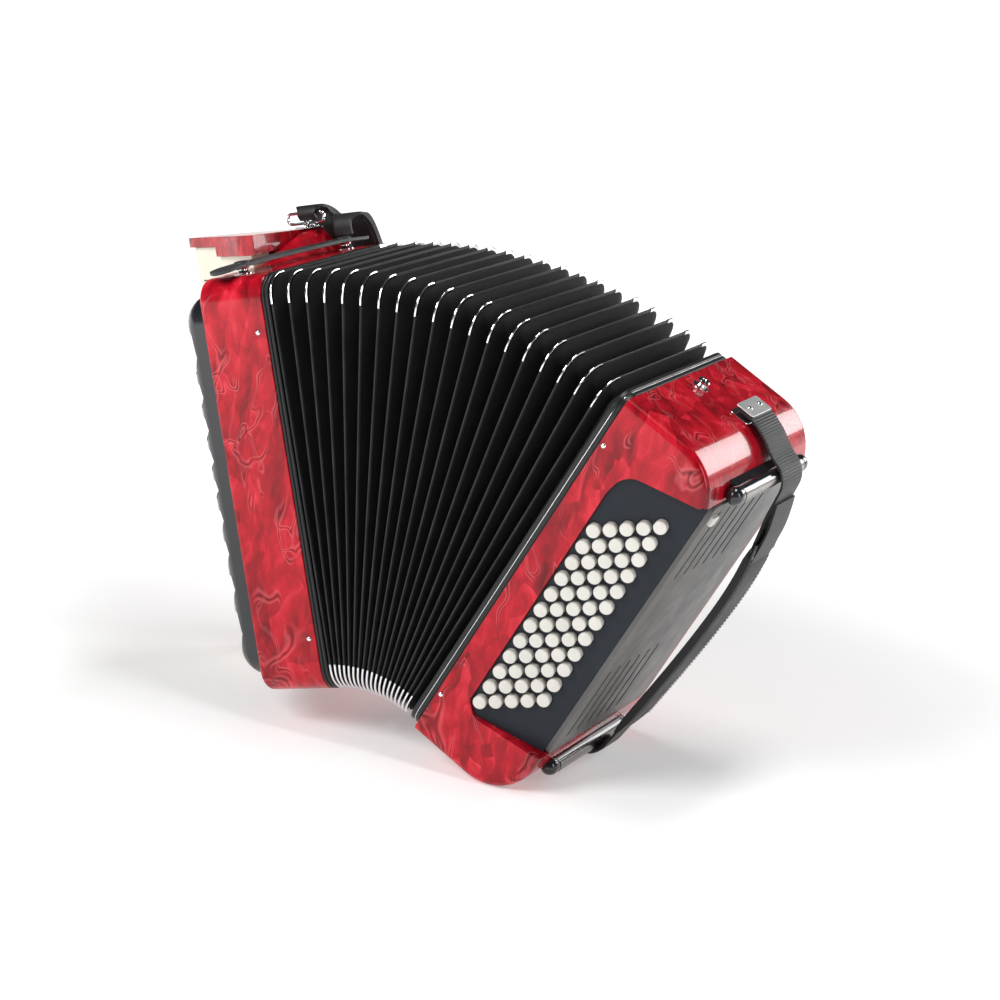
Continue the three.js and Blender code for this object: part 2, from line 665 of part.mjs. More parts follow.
// Hand strap over the bass side: webbing from the top bracket, then a pad for the hand
function bassStrap(group) {
  const line = [
    [57, CASE_HEIGHT + 5.5],
    [72, CASE_HEIGHT + 5.3],
    [86, CASE_HEIGHT + 0.5],
    [99, 317.8],
    [110.5, 313.2],
    [118, 304.5],
    [120, 292],
    [121.5, 277],
    [125, 258],
    [129.5, 230],
    [131, 196],
    [129, 146],
    [124, 86],
    [119.5, 46],
    [117.5, 34],
    [111.5, 25.5],
    [103, 21],
  ];
  const padded = (share) => (share > 0.53 && share < 0.8 ? PAD_THICKNESS : WEBBING_THICKNESS);
  const start = STRAP_MIDDLE - STRAP_WIDTH / 2;
  piece(group, "bass_strap", alongY(band(line, 32, padded), start, STRAP_WIDTH), webbing);
  const half = STRAP_WIDTH / 2 + 1;
  const bracket = block(
    [54, STRAP_MIDDLE - half, CASE_HEIGHT + GAP],
    [72, STRAP_MIDDLE + half, CASE_HEIGHT + 3.2],
  );
  piece(group, "bass_strap_bracket", bracket, chrome);
}

const instrument = new THREE.Group();
const treble = new THREE.Group();
instrument.add(treble);
trebleCase(treble);
grille(treble);
const keyboard = keyboardGroup(treble);
keys(keyboard);
keyboardBed(treble, keyboard);
trebleTop(treble);
const trebleReeds = reedBlock(TREBLE_LEFT + WALL + 1, 40, [60, 30], [120, 295], 13);
piece(treble, "treble_reed_block", trebleReeds, wood);
shoulderStrap(treble, "shoulder_strap_left", -75, 164, RING_BOTTOM + RING_HEIGHT + 3);
shoulderStrap(treble, "shoulder_strap_right", -46, 176, 351);

const ridges = ridgePlaces();
for (let section = 0; section < SECTION_COUNT; section += 1) {
  const group = placedGroup(treble, ridges[1 + section * RIDGES_PER_SECTION]);
  const ring = rim(-SECTION_THICKNESS / 2, SECTION_THICKNESS, FOLD_DEPTH);
  piece(group, `bellows_section_${section + 1}`, ring, cloth);
}

const lastRidge = ridges[RIDGE_COUNT - 1];
const bassLean = lastRidge.lean + RIDGE_ANGLE / 2;
const bassPlace = {
  x: lastRidge.x + BASS_GAP * Math.cos(bassLean),
  z: lastRidge.z - BASS_GAP * Math.sin(bassLean),
  lean: bassLean,
};
const bass = placedGroup(treble, bassPlace);
bassCase(bass);
const board = new THREE.Group();
board.position.set(BOARD_LEFT, BOARD_DEPTH, 0);
board.rotation.z = BOARD_SLANT;
bass.add(board);
buttonBoard(board);
bassCover(bass);
footBar(bass, "bass_foot_top", TOP_FOOT_HEIGHT);
footBar(bass, "bass_foot_bottom", BOTTOM_FOOT_HEIGHT);
bassStrap(bass);
const bassReeds = reedBlock(BASS_CASE_LEFT + 3, 34, [60, 50], [130, 275], 12);
piece(bass, "bass_reed_block", bassReeds, wood);

// The lean at which the keyboard's foot and the round lower corner of the bass case are level
const cornerAcross = BASS_OUTER - BASS_CORNER;
const cornerX = bassPlace.x + cornerAcross * Math.cos(bassLean) + BASS_CORNER * Math.sin(bassLean);
const cornerZ = bassPlace.z - cornerAcross * Math.sin(bassLean) + BASS_CORNER * Math.cos(bassLean);
const footX = CHEEK_TIP_X + CHEEK_EDGE;
const footZ = KEYBOARD_BOTTOM - CHEEK_THICKNESS;
const reach = Math.hypot(cornerX - footX, cornerZ - footZ);
const slope = Math.atan2(cornerZ - footZ, cornerX - footX);
treble.rotation.y = -(Math.asin(BASS_CORNER / reach) - slope);

// The origin is under the middle of the instrument, on the surface that it stands on
const bounds = new THREE.Box3().setFromObject(instrument, true);
const middle = bounds.getCenter(new THREE.Vector3());
treble.position.set(-middle.x, -middle.y, -bounds.min.z);

export default instrument;
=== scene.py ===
"""The looks of a small red piano accordion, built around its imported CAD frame.

Shapes are drawn in millimetres in one of the instrument's own frames, with X from the treble case
towards the bass, Y from front to back and Z along the case. A frame is a matrix that takes those
millimetres to the row frame in metres.
"""

import json
from math import asin, atan2, cos, pi, radians, sin, sqrt, tan

import bmesh
import bpy
from mathutils import Matrix, Vector


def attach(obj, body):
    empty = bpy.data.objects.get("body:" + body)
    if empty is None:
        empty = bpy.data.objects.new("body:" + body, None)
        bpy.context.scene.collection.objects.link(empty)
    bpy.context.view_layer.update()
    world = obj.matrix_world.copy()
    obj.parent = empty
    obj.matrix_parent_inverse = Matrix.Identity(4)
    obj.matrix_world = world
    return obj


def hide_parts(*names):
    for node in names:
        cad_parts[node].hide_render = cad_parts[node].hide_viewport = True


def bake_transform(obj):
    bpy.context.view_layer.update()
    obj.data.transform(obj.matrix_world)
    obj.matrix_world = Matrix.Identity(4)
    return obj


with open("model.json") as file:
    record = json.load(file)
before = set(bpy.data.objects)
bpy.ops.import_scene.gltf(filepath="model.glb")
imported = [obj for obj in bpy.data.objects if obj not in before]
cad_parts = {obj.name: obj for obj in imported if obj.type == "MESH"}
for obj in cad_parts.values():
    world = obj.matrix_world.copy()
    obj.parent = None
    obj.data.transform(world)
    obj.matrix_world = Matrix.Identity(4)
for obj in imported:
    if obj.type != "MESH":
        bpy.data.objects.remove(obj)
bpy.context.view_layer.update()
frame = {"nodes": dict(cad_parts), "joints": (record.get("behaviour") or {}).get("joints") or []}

MM = 0.001

# Cases and bellows
CASE_HEIGHT = 325
CASE_DEPTH = 190
CASE_CORNER = 18
WALL = 5
RIDGE_COUNT = 19
RIDGE_PITCH = 3.3
RIDGE_ANGLE = radians(2.302)
RIDGES_PER_SECTION = 3
SECTION_COUNT = 6
FOLD_DEPTH = 22

# Treble side
TREBLE_LEFT = -66
TREBLE_FRAME_LEFT = -8.7
TREBLE_FRAME_RIGHT = -2.5
GRILLE_BOTTOM = 12
GRILLE_LEFT = -108
GRILLE_BACK = 86
GRILLE_EDGE = 22
GRILLE_WALL = 2.6
OPENING_LENGTHS = (31.28, 18.4, 17.48, 15.64, 14.72, 16.56, 19.32, 21.16, 31.28)
OPENING_GAP = 8
KEYBOARD_BOTTOM = 16.6
KEYBOARD_TOP = 333.4
CHEEK_THICKNESS = 16
CHEEK_TOP = KEYBOARD_TOP + CHEEK_THICKNESS
CHEEK_FRONT = -3.5
CHEEK_SLOPE = radians(4.2)
END_KEY_REACH = 43
KEYBOARD_SLANT = radians(-28)
KEY_TIP = (-160, 144)
RING_MIDDLE = (-65, 169, 352.9)

# Bass side
BASS_FRAME_LEFT = 2
BASS_CASE_LEFT = 11
BASS_OUTER = 105
BASS_CORNER = 42
BASS_EDGE = 6
BOARD_LEFT = 35.5
BOARD_DEPTH = 2
BOARD_THICKNESS = 3
BOARD_SLANT = radians(10.3)
BUTTON_COLUMNS = ("counterbass", "bass", "major_chord", "minor_chord", "seventh_chord")
BUTTON_ROWS = 12
BUTTON_ROW_PITCH = 15.5
FIRST_BUTTON = (7, 57)
BUTTON_STEP = (9.7, 8.25)
BUTTON_RADIUS = 5.3
COVER_THICKNESS = 4
COVER_FRONT = 14.5
COVER_BACK = 181
COVER_BOTTOM = 52
COVER_TOP = 296
SLOTS_PER_GROUP = 6
SLOT_PITCH = 17
FOOT_START = 28
FOOT_LENGTH = 134
TOP_FOOT_HEIGHT = 304
BOTTOM_FOOT_HEIGHT = 34
FOOT_RADIUS = 7
STRAP_MIDDLE = 118
STRAP_WIDTH = 40
SHOULDER_STRAP_WIDTH = 26

# Camera, in the treble frame
CAMERA_PLACE = (1211.97, -1848.28, 480.24)
CAMERA_AZIMUTH = radians(29.42)
CAMERA_ELEVATION = radians(9.04)
CAMERA_ROLL = radians(-8.51)
CAMERA_LENS = 105.7

FLOOR_REACH = 30


# ---------------------------------------------------------------- frames

def leaning_frame(upwards, node, low):
    """The frame whose Z is upwards and whose Y is the row's, where the node's lowest corner is low"""
    z = Vector(upwards).normalized()
    y = Vector((0, 1, 0))
    x = y.cross(z)
    turn = Matrix((x, y, z)).transposed()
    points = [turn.transposed() @ v.co for v in frame["nodes"][node].data.vertices]
    lowest = Vector(min(p[axis] for p in points) for axis in range(3))
    origin = turn @ (lowest - Vector(low) * MM)
    return Matrix.Translation(origin) @ turn.to_4x4() @ Matrix.Scale(MM, 4)


def joint_axis(name):
    """A joint's axis, which points along its slide or its hinge line"""
    return Vector(next(j for j in frame["joints"] if j["name"] == name)["axis"])


TREBLE = leaning_frame(-joint_axis("key_c5_press"), "treble_bellows_frame", (TREBLE_FRAME_LEFT, 0, 0))
INWARDS = joint_axis("air_button_press")
BASS = leaning_frame((-INWARDS).cross(Vector((0, 1, 0))), "bass_bellows_frame", (BASS_FRAME_LEFT, 0, 0))
BOARD = BASS @ Matrix.Translation((BOARD_LEFT, BOARD_DEPTH, 0)) @ Matrix.Rotation(BOARD_SLANT, 4, "Z")


def keyboard_turn(height=0):
    """From the keyboard's own axes, at a height, to the treble frame's"""
    return Matrix.Translation((*KEY_TIP, height)) @ Matrix.Rotation(KEYBOARD_SLANT, 4, "Z")


KEYBOARD = TREBLE @ keyboard_turn()
FACING_FRONT = Matrix.Rotation(radians(90), 4, "X")


def ridge_frames():
    """One frame for each ridge, with the ridge in its plane of X = 0"""
    x, z, lean = 0, 0, 0
    found = []
    for _ in range(RIDGE_COUNT):
        found.append(TREBLE @ Matrix.Translation((x, 0, z)) @ Matrix.Rotation(lean, 4, "Y"))
        between = lean + RIDGE_ANGLE / 2
        x += RIDGE_PITCH * cos(between)
        z -= RIDGE_PITCH * sin(between)
        lean += RIDGE_ANGLE
    return found


RIDGES = ridge_frames()


# ---------------------------------------------------------------- outlines

def arc(centre, radius, start, end, steps):
    """Points of an arc, with its angles in degrees"""
    angles = [radians(start + (end - start) * k / steps) for k in range(steps + 1)]
    return [(centre[0] + radius * cos(a), centre[1] + radius * sin(a)) for a in angles]


def rounded_rectangle(left, low, right, high, radius, corner=8, long_side=1, short_side=1):
    """Points round a rectangle with round corners, with each straight side in equal steps"""
    centres = [(right - radius, low + radius), (right - radius, high - radius)]
    centres += [(left + radius, high - radius), (left + radius, low + radius)]
    points = []
    for index, centre in enumerate(centres):
        points += arc(centre, radius, -90 + 90 * index, 90 * index, corner)
        following = arc(centres[(index + 1) % 4], radius, 90 * index, 90 * index, 1)[0]
        steps = long_side if index % 2 == 0 else short_side
        start = points[-1]
        for k in range(1, steps):
            points.append(tuple(a + (b - a) * k / steps for a, b in zip(start, following)))
    return points


def rounded_polygon(corners, steps=6):
    """A polygon given as (x, y, radius), with each corner rounded"""
    points = []
    count = len(corners)
    for index, (x, y, radius) in enumerate(corners):
        here = Vector((x, y))
        before = (Vector(corners[index - 1][:2]) - here).normalized()
        after = (Vector(corners[(index + 1) % count][:2]) - here).normalized()
        if radius == 0:
            points.append((x, y))
            continue
        half = before.angle(after) / 2
        reach = radius / abs(sin(half) / cos(half))
        middle = here + (before + after).normalized() * (radius / sin(half))
        first = here + before * reach - middle
        last = here + after * reach - middle
        start = atan2(first.y, first.x)
        sweep = (atan2(last.y, last.x) - start + pi) % (2 * pi) - pi
        for k in range(steps + 1):
            a = start + sweep * k / steps
            points.append((middle.x + radius * cos(a), middle.y + radius * sin(a)))
    return points


def rounded_box(left, low, right, high, radius, steps=4):
    """A rectangle with round corners and plain sides"""
    corners = [(left, low), (right, low), (right, high), (left, high)]
    return rounded_polygon([(*corner, radius) for corner in corners], steps)


def smooth_line(points, steps):
    """A Catmull-Rom line through points of any dimension, with steps to each stretch"""
    ends = [Vector(p) for p in points]
    ends = [2 * ends[0] - ends[1], *ends, 2 * ends[-1] - ends[-2]]
    line = []
    for k in range(1, len(ends) - 2):
        a, b, c, d = ends[k - 1:k + 3]
        for step in range(steps):
            t = step / steps
            line.append(((2 * b) + (c - a) * t + (2 * a - 5 * b + 4 * c - d) * t ** 2
                         + (3 * b - a - 3 * c + d) * t ** 3) / 2)
    line.append(ends[-2])
    return line


# ---------------------------------------------------------------- meshes

def loft(rings, loop=False):
    """A skin over rings of equally many points: capped, or with its last ring joined to its first"""
    count = len(rings[0])
    faces = []
    for i in range(len(rings) if loop else len(rings) - 1):
        a, b = i * count, (i + 1) % len(rings) * count
        for k in range(count):
            l = (k + 1) % count
            faces.append((a + k, a + l, b + l, b + k))
    if not loop:
        faces.append(tuple(reversed(range(count))))
        faces.append(tuple(range(count * (len(rings) - 1), count * len(rings))))
    return [p for ring in rings for p in ring], faces


def together(*shapes):
    """Several shapes as one"""
    verts, faces = [], []
    for points, sides in shapes:
        faces += [tuple(i + len(verts) for i in side) for side in sides]
        verts += points
    return verts, faces


def moved(shape, matrix):
    """A shape with its points taken through a matrix"""
    return [tuple(matrix @ Vector(p)) for p in shape[0]], shape[1]


def on_axis(axis, u, v, depth):
    """The point at a depth along an axis and at (u, v) in the two other ones"""
    return {"X": (depth, u, v), "Y": (u, depth, v), "Z": (u, v, depth)}[axis]


def quarter(steps):
    """Angles in equal steps through a quarter turn"""
    return [pi / 2 * k / steps for k in range(steps + 1)]


def slab(outline, low, high, axis="Z", edge=0, steps=3):
    """A plate from an outline in the two other axes, with its edges rounded by insetting the ends"""
    levels = [(low, 0), (high, 0)]
    if edge:
        levels = [(low + edge * (1 - cos(a)), edge * (1 - sin(a))) for a in quarter(steps)]
        levels += [(low + high - depth, inset) for depth, inset in reversed(levels)]
    rings = []
    for depth, inset in levels:
        ring = outline(inset) if callable(outline) else outline
        rings.append([on_axis(axis, *p, depth) for p in ring])
    return loft(rings)


def circle(radius, steps=12):
    """Points round a circle about the origin"""
    return [(radius * cos(2 * pi * k / steps), radius * sin(2 * pi * k / steps)) for k in range(steps)]


def lathe(profile, steps=24, axis="Z"):
    """A round body from (radius, height) points that start and end on the axis"""
    return loft([[on_axis(axis, u, v, height) for u, v in circle(radius, steps)]
                 for radius, height in profile])


def sweep(line, section, closed=False, up=(0, 1, 0), scale=None):
    """A body whose section, in (across, outwards), follows a line. across is along up."""
    rings = []
    points = [Vector(p) for p in line]
    count = len(points)
    for k, point in enumerate(points):
        if closed:
            along = points[(k + 1) % count] - points[k - 1]
        else:
            along = points[min(k + 1, count - 1)] - points[max(k - 1, 0)]
        across = Vector(up)
        across = (across - along.normalized() * across.dot(along.normalized())).normalized()
        outwards = across.cross(along).normalized()
        wide, thick = scale(k / (count - 1)) if scale else (1, 1)
        rings.append([tuple(point + across * a * wide + outwards * o * thick) for a, o in section])
    return loft(rings, loop=closed)


def strap_section(width, thickness):
    """A flat band's section, with a slightly thinner edge"""
    steps = 8
    half = width / 2
    edge = thickness * 0.4
    upper = [(-half + width * k / steps, thickness / 2) for k in range(1, steps)]
    lower = [(-a, -o) for a, o in upper]
    left = [(-half, -edge), (-half, edge)]
    right = [(half, edge), (half, -edge)]
    return left + upper + right + lower


def linked(name, data):
    """A new object in the scene, for a mesh, a light or a camera"""
    obj = bpy.data.objects.new(name, data)
    bpy.context.scene.collection.objects.link(obj)
    return obj


def cleaned(mesh, reach, flatten=False):
    """Merges points nearer than reach, joins split flat faces if asked, and turns every face outwards"""
    bm = bmesh.new()
    bm.from_mesh(mesh)
    bmesh.ops.remove_doubles(bm, verts=bm.verts, dist=reach)
    if flatten:
        bmesh.ops.dissolve_limit(bm, angle_limit=radians(1), verts=bm.verts, edges=bm.edges)
    bmesh.ops.recalc_face_normals(bm, faces=bm.faces)
    bm.to_mesh(mesh)
    bm.free()
    return mesh


def new_object(name, shape, place):
    """A shape in the frame place, as an object whose faces all look outwards"""
    mesh = bpy.data.meshes.new(name)
    mesh.from_pydata([place @ Vector(v) for v in shape[0]], [], shape[1])
    return linked(name, cleaned(mesh, 1e-7))


def bake(obj):
    """Applies every modifier"""
    graph = bpy.context.evaluated_depsgraph_get()
    mesh = bpy.data.meshes.new_from_object(obj.evaluated_get(graph))
    obj.modifiers.clear()
    obj.data = mesh


def round_edges(obj, width, segments=2, angle=35):
    """Rounds the edges sharper than angle; width is in millimetres"""
    bevel = obj.modifiers.new("edges", "BEVEL")
    bevel.width = width * MM
    bevel.segments = segments
    bevel.limit_method = "ANGLE"
    bevel.angle_limit = radians(angle)
    bake(obj)


def carve(obj, *shapes, place=None, keep=False):
    """Cuts closed shapes out of an object, or keeps only what is in them"""
    for shape in shapes:
        cutter = new_object("cutter", shape, place)
        cut = obj.modifiers.new("cut", "BOOLEAN")
        cut.operation = "INTERSECT" if keep else "DIFFERENCE"
        cut.object = cutter
        cut.solver = "EXACT"
        bake(obj)
        bpy.data.objects.remove(cutter)


def dress(obj, look, body=None, stands_for=(), smooth=35):
    """Gives a finished mesh its material, shading and body, and hides the CAD parts it stands for"""
    obj.data.materials.clear()
    obj.data.materials.append(look)
    obj.data.polygons.foreach_set("use_smooth", [True] * len(obj.data.polygons))
    obj.data.set_sharp_from_angle(angle=radians(smooth))
    obj.modifiers.new("weighted", "WEIGHTED_NORMAL").keep_sharp = True
    bake(obj)
    if body:
        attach(obj, body)
    if stands_for:
        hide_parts(*stands_for)
    return obj


def piece(name, shape, place, look, body=None, stands_for=(), smooth=35, edges=()):
    """A finished piece; edges holds what round_edges takes after the object"""
    obj = new_object(name, shape, place)
    if edges:
        round_edges(obj, *edges)
    return dress(obj, look, body, stands_for, smooth)


def refined(node, look, body, width, segments=2):
    """The CAD node's own shape with rounded edges, in a new piece"""
    mesh = cleaned(frame["nodes"][node].data.copy(), 1e-6, flatten=True)
    obj = linked(f"{node}_finished", mesh)
    round_edges(obj, width, segments)
    return dress(obj, look, body, [node])


# ---------------------------------------------------------------- materials

class Look:
    """A node material: its tree is built by calls that return the new node's first output"""

    def __init__(self, name, roughness, metallic=0, **sockets):
        self.material = bpy.data.materials.new(name)
        self.material.use_nodes = True
        self.tree = self.material.node_tree
        self.shader = self.tree.nodes["Principled BSDF"]
        self.set(Roughness=roughness, Metallic=metallic, **sockets)
        self.coords = self.node("TexCoord").outputs["Object"]

    def set(self, **sockets):
        """Fills sockets of the shader, named with underscores for spaces"""
        for name, value in sockets.items():
            self.put(self.shader.inputs[name.replace("_", " ")], value)

    def put(self, socket, value):
        """Links a node's output to a socket, or sets a constant on it"""
        if isinstance(value, bpy.types.NodeSocket):
            self.tree.links.new(value, socket)
        else:
            socket.default_value = value

    def node(self, kind, inputs=(), **settings):
        made = self.tree.nodes.new("ShaderNode" + kind)
        for name, value in settings.items():
            setattr(made, name, value)
        for name, value in dict(inputs).items():
            self.put(made.inputs[name], value)
        return made

    def math(self, operation, a, b=0.0):
        return self.node("Math", {0: a, 1: b}, operation=operation).outputs[0]

    def ramp(self, value, *stops):
        """A colour ramp through (position, colour) stops"""
        made = self.node("ValToRGB", {"Fac": value})
        for index, (place, color) in enumerate(stops):
            if index < 2:
                stop = made.color_ramp.elements[index]
                stop.position = place
            else:
                stop = made.color_ramp.elements.new(place)
            stop.color = (*color, 1)
        return made.outputs["Color"]

    def grey(self, value, *stops):
        """A ramp through (position, brightness) stops"""
        return self.ramp(value, *[(place, (shade,) * 3) for place, shade in stops])

    def noise(self, scale, detail=2, roughness=0.5, vector=None, distortion=0, output="Fac"):
        inputs = {"Vector": vector or self.coords, "Scale": scale, "Detail": detail}
        inputs.update({"Roughness": roughness, "Distortion": distortion})
        return self.node("TexNoise", inputs).outputs[output]

    def vector(self, operation, a, b=(0, 0, 0), output="Vector"):
        return self.node("VectorMath", {0: a, 1: b}, operation=operation).outputs[output]

    def mapped(self, vector, scale=(1, 1, 1), rotation=(0, 0, 0), location=(0, 0, 0)):
        """The vector scaled, turned and shifted"""
        inputs = {"Vector": vector, "Scale": scale, "Rotation": rotation, "Location": location}
        return self.node("Mapping", inputs).outputs[0]

    def axes(self, vector=None):
        return self.node("SeparateXYZ", {0: vector or self.coords}).outputs

    def wave(self, value, pitch):
        """A sine wave that repeats every pitch metres"""
        return self.math("SINE", self.math("MULTIPLY", value, 2 * pi / pitch))

    def mix(self, share, a, b):
        made = self.node("Mix", {}, data_type="RGBA")
        for socket, value in zip((made.inputs[0], made.inputs[6], made.inputs[7]), (share, a, b)):
            self.put(socket, value)
        return made.outputs[2]

    def bump(self, height, strength, distance):
        inputs = {"Height": height, "Strength": strength, "Distance": distance}
        return self.node("Bump", inputs).outputs["Normal"]

    def warped(self, scale, reach):
        """The coordinates pushed about by noise, by up to reach metres"""
        push = self.vector("SUBTRACT", self.noise(scale, output="Color"), (0.5,) * 3)
        push = self.node("VectorMath", {0: push, "Scale": 2 * reach}, operation="SCALE").outputs[0]
        return self.vector("ADD", self.coords, push)


def tones(color, low, high):
    """A darker and a lighter shade of a colour"""
    return tuple(c * low for c in color), tuple(min(1, c * high) for c in color)


def pearl_shards(look, place, scale, steepness):
    """Leaf-like cells, each of its own shade and leaning its own way"""
    cells = look.node("TexVoronoi", {"Vector": place, "Scale": scale, "Randomness": 1.0}, feature="F1")
    out = look.vector("SUBTRACT", place, cells.outputs["Position"])
    lean = look.vector("NORMALIZE", look.vector("SUBTRACT", cells.outputs["Color"], (0.5,) * 3))
    slope = look.vector("DOT_PRODUCT", out, lean, output="Value")
    base = look.node("SeparateColor", {0: cells.outputs["Color"]}).outputs[0]
    return look.math("ADD", look.math("MULTIPLY", slope, steepness), look.math("MULTIPLY", base, 0.30))


def pearl_fold(look, place, color, scale, width, seed, limit):
    """Draws broken dark fold lines over the colour, with a painted highlight beside them"""
    value = look.noise(scale, 1.5, 0.5, look.mapped(place, location=(seed,) * 3), 0.25)
    near = look.math("ABSOLUTE", look.math("SUBTRACT", value, 0.5))
    where = look.grey(look.noise(34, 1, 0.5, place), (limit, 0), (limit + 0.08, 1))
    line = look.math("MULTIPLY", look.grey(near, (0.0, 1), (width, 0)), where)
    # rim is a painted highlight: a bright line painted beside each dark fold
    rim = look.math("MULTIPLY", look.grey(near, (width, 0), (width * 2, 1), (width * 4, 0)), where)
    color = look.mix(look.math("MULTIPLY", line, 0.8), color, (0.06, 0.001, 0.004, 1))
    return look.mix(look.math("MULTIPLY", rim, 0.3), color, (0.95, 0.20, 0.22, 1))


def red_pearl():
    """Pearl celluloid: overlapping shards with a silky shading, dark folds with a painted highlight beside
    them, and painted pinkish highlights on its lightest spots
    """
    look = Look("red_pearl", 0.25, Coat_Weight=0.5, Coat_Roughness=0.02, Coat_IOR=1.4,
                Specular_IOR_Level=0.15)
    place = look.mapped(look.warped(16, 0.016), (1.35, 1.1, 0.6), (0.5, 0.9, 0.3))
    large = pearl_shards(look, place, 30, 13.0)
    small = pearl_shards(look, place, 74, 26.0)
    pick = look.grey(look.noise(22, 2), (0.38, 0.15), (0.62, 0.85))
    cloud = look.math("SUBTRACT", look.noise(42, 3, 0.55, place, 1.6), 0.5)
    silk = look.mapped(place, (1, 5, 1), (0.4, 0.2, 0.9))
    fibres = look.math("SUBTRACT", look.noise(60, 3, 0.6, silk, 0.6), 0.5)
    blend = look.math("ADD", large, look.math("MULTIPLY", look.math("SUBTRACT", small, large), pick))
    glow = look.math("ADD", look.math("MULTIPLY", blend, 0.8), look.math("MULTIPLY", cloud, 0.75))
    glow = look.math("ADD", look.math("ADD", glow, 0.38), look.math("MULTIPLY", fibres, 0.3))
    # The lightest, pinkish stop is a painted highlight on the pearl's brightest spots
    color = look.ramp(glow, (0.08, (0.11, 0.001, 0.005)), (0.34, (0.29, 0.003, 0.010)),
                      (0.58, (0.50, 0.006, 0.018)), (0.80, (0.68, 0.025, 0.045)), (1.0, (0.88, 0.16, 0.18)))
    color = pearl_fold(look, place, color, scale=17, width=0.005, seed=0.0, limit=0.44)
    color = pearl_fold(look, place, color, scale=29, width=0.007, seed=3.1, limit=0.48)
    look.set(Base_Color=color, Normal=look.bump(glow, 0.04, 0.0005))
    return look.material


def plastic(name, color, roughness, coat=0.0, grain=900, mottle=0.12, gloss=0.35):
    """Moulded plastic or paint, with a fine grain and slightly uneven gloss"""
    look = Look(name, roughness, Coat_Weight=coat, Coat_Roughness=0.06, Specular_IOR_Level=gloss)
    dark, light = tones(color, 1 - mottle, 1 + mottle)
    low, high = roughness * 0.85, min(1, roughness * 1.2)
    look.set(Base_Color=look.ramp(look.noise(35, 3), (0.3, dark), (0.7, light)),
             Roughness=look.grey(look.noise(60, 4), (0.3, low), (0.7, high)),
             Normal=look.bump(look.noise(grain, 2), 0.25, 0.00004))
    return look.material


def metal(name, color, roughness, brushed=0.0):
    """Plated or brushed metal; brushing runs along Y"""
    look = Look(name, roughness, metallic=1)
    lines = look.noise(900, 3, 0.6, look.mapped(look.coords, (1, 0.03, 1)) if brushed else None)
    dark, light = tones(color, 0.9, 1)
    look.set(Base_Color=look.ramp(look.noise(50, 2), (0.3, dark), (0.7, light)),
             Roughness=look.grey(lines, (0.3, roughness * 0.8), (0.7, min(1, roughness * 1.3))),
             Normal=look.bump(lines, 0.1 + brushed, 0.00002))
    return look.material


def woven(name, color, roughness, pitch, sheen=0.3):
    """Cloth: two crossing sets of threads, pitch metres apart"""
    look = Look(name, roughness, Sheen_Weight=sheen, Sheen_Roughness=0.5, Specular_IOR_Level=0.25)
    split = look.axes()
    across = look.wave(look.math("ADD", split["X"], split["Y"]), pitch)
    along = look.wave(look.math("SUBTRACT", split["Z"], split["Y"]), pitch)
    dark, light = tones(color, 0.7, 1.35)
    look.set(Base_Color=look.ramp(look.noise(60, 4), (0.3, dark), (0.7, light)),
             Normal=look.bump(look.math("MULTIPLY", across, along), 0.3, 0.0002))
    return look.material


def webbing():
    """Ribbed nylon, with its ribs across the strap and painted shade in the grooves between them; strap_run
    holds (along, across) in metres
    """
    look = Look("webbing", 0.5, Sheen_Weight=0.08, Sheen_Roughness=0.4)
    split = look.axes(look.node("Attribute", attribute_name="strap_run").outputs["Vector"])
    ribs = look.wave(split["X"], 0.0022)
    cords = look.wave(split["Y"], 0.0016)
    height = look.math("ADD", ribs, look.math("MULTIPLY", cords, 0.35))
    # Painted shade: the colour follows the ribs' height, so the grooves are darker and the rib tops lighter
    shade = look.math("ADD", look.math("MULTIPLY", height, 0.2), 0.5)
    color = look.ramp(shade, (0.1, (0.004, 0.004, 0.005)), (0.8, (0.018, 0.019, 0.021)))
    look.set(Base_Color=color, Normal=look.bump(height, 0.6, 0.00025))
    return look.material


def leather(name, color, roughness=0.45):
    """Leather with a fine pebbled grain and soft wear"""
    look = Look(name, roughness)
    grain = look.node("TexVoronoi", {"Vector": look.warped(120, 0.001), "Scale": 900}, feature="F1")
    worn = look.noise(30, 4)
    dark, light = tones(color, 0.7, 1.6)
    look.set(Base_Color=look.ramp(worn, (0.35, dark), (0.75, light)),
             Roughness=look.grey(worn, (0.3, roughness * 0.8), (0.7, roughness * 1.25)),
             Normal=look.bump(grain.outputs["Distance"], 0.35, 0.00015))
    return look.material


def gauze():
    """Perforated screen behind the grille: bright dots of metal between dark holes, whose darkness is
    painted shade seen through them
    """
    look = Look("gauze", 0.4, metallic=0.8)
    split = look.axes()
    weave = look.math("MULTIPLY", look.wave(split["Z"], 0.0018), look.wave(split["Y"], 0.0018))
    dots = look.grey(weave, (0.25, 1), (0.45, 0))
    # The dark holes are painted shade seen through the screen
    look.set(Base_Color=look.mix(dots, (0.02, 0.02, 0.022, 1), (0.42, 0.42, 0.43, 1)),
             Normal=look.bump(dots, 0.5, 0.0002))
    return look.material


def spruce():
    """Plain softwood, with its grain along the case"""
    look = Look("spruce", 0.6)
    grain = look.noise(260, 4, 0.6, look.mapped(look.coords, (1, 1, 0.06)))
    look.set(Base_Color=look.ramp(grain, (0.35, (0.30, 0.17, 0.08)), (0.65, (0.55, 0.36, 0.19))),
             Normal=look.bump(grain, 0.2, 0.0001))
    return look.material


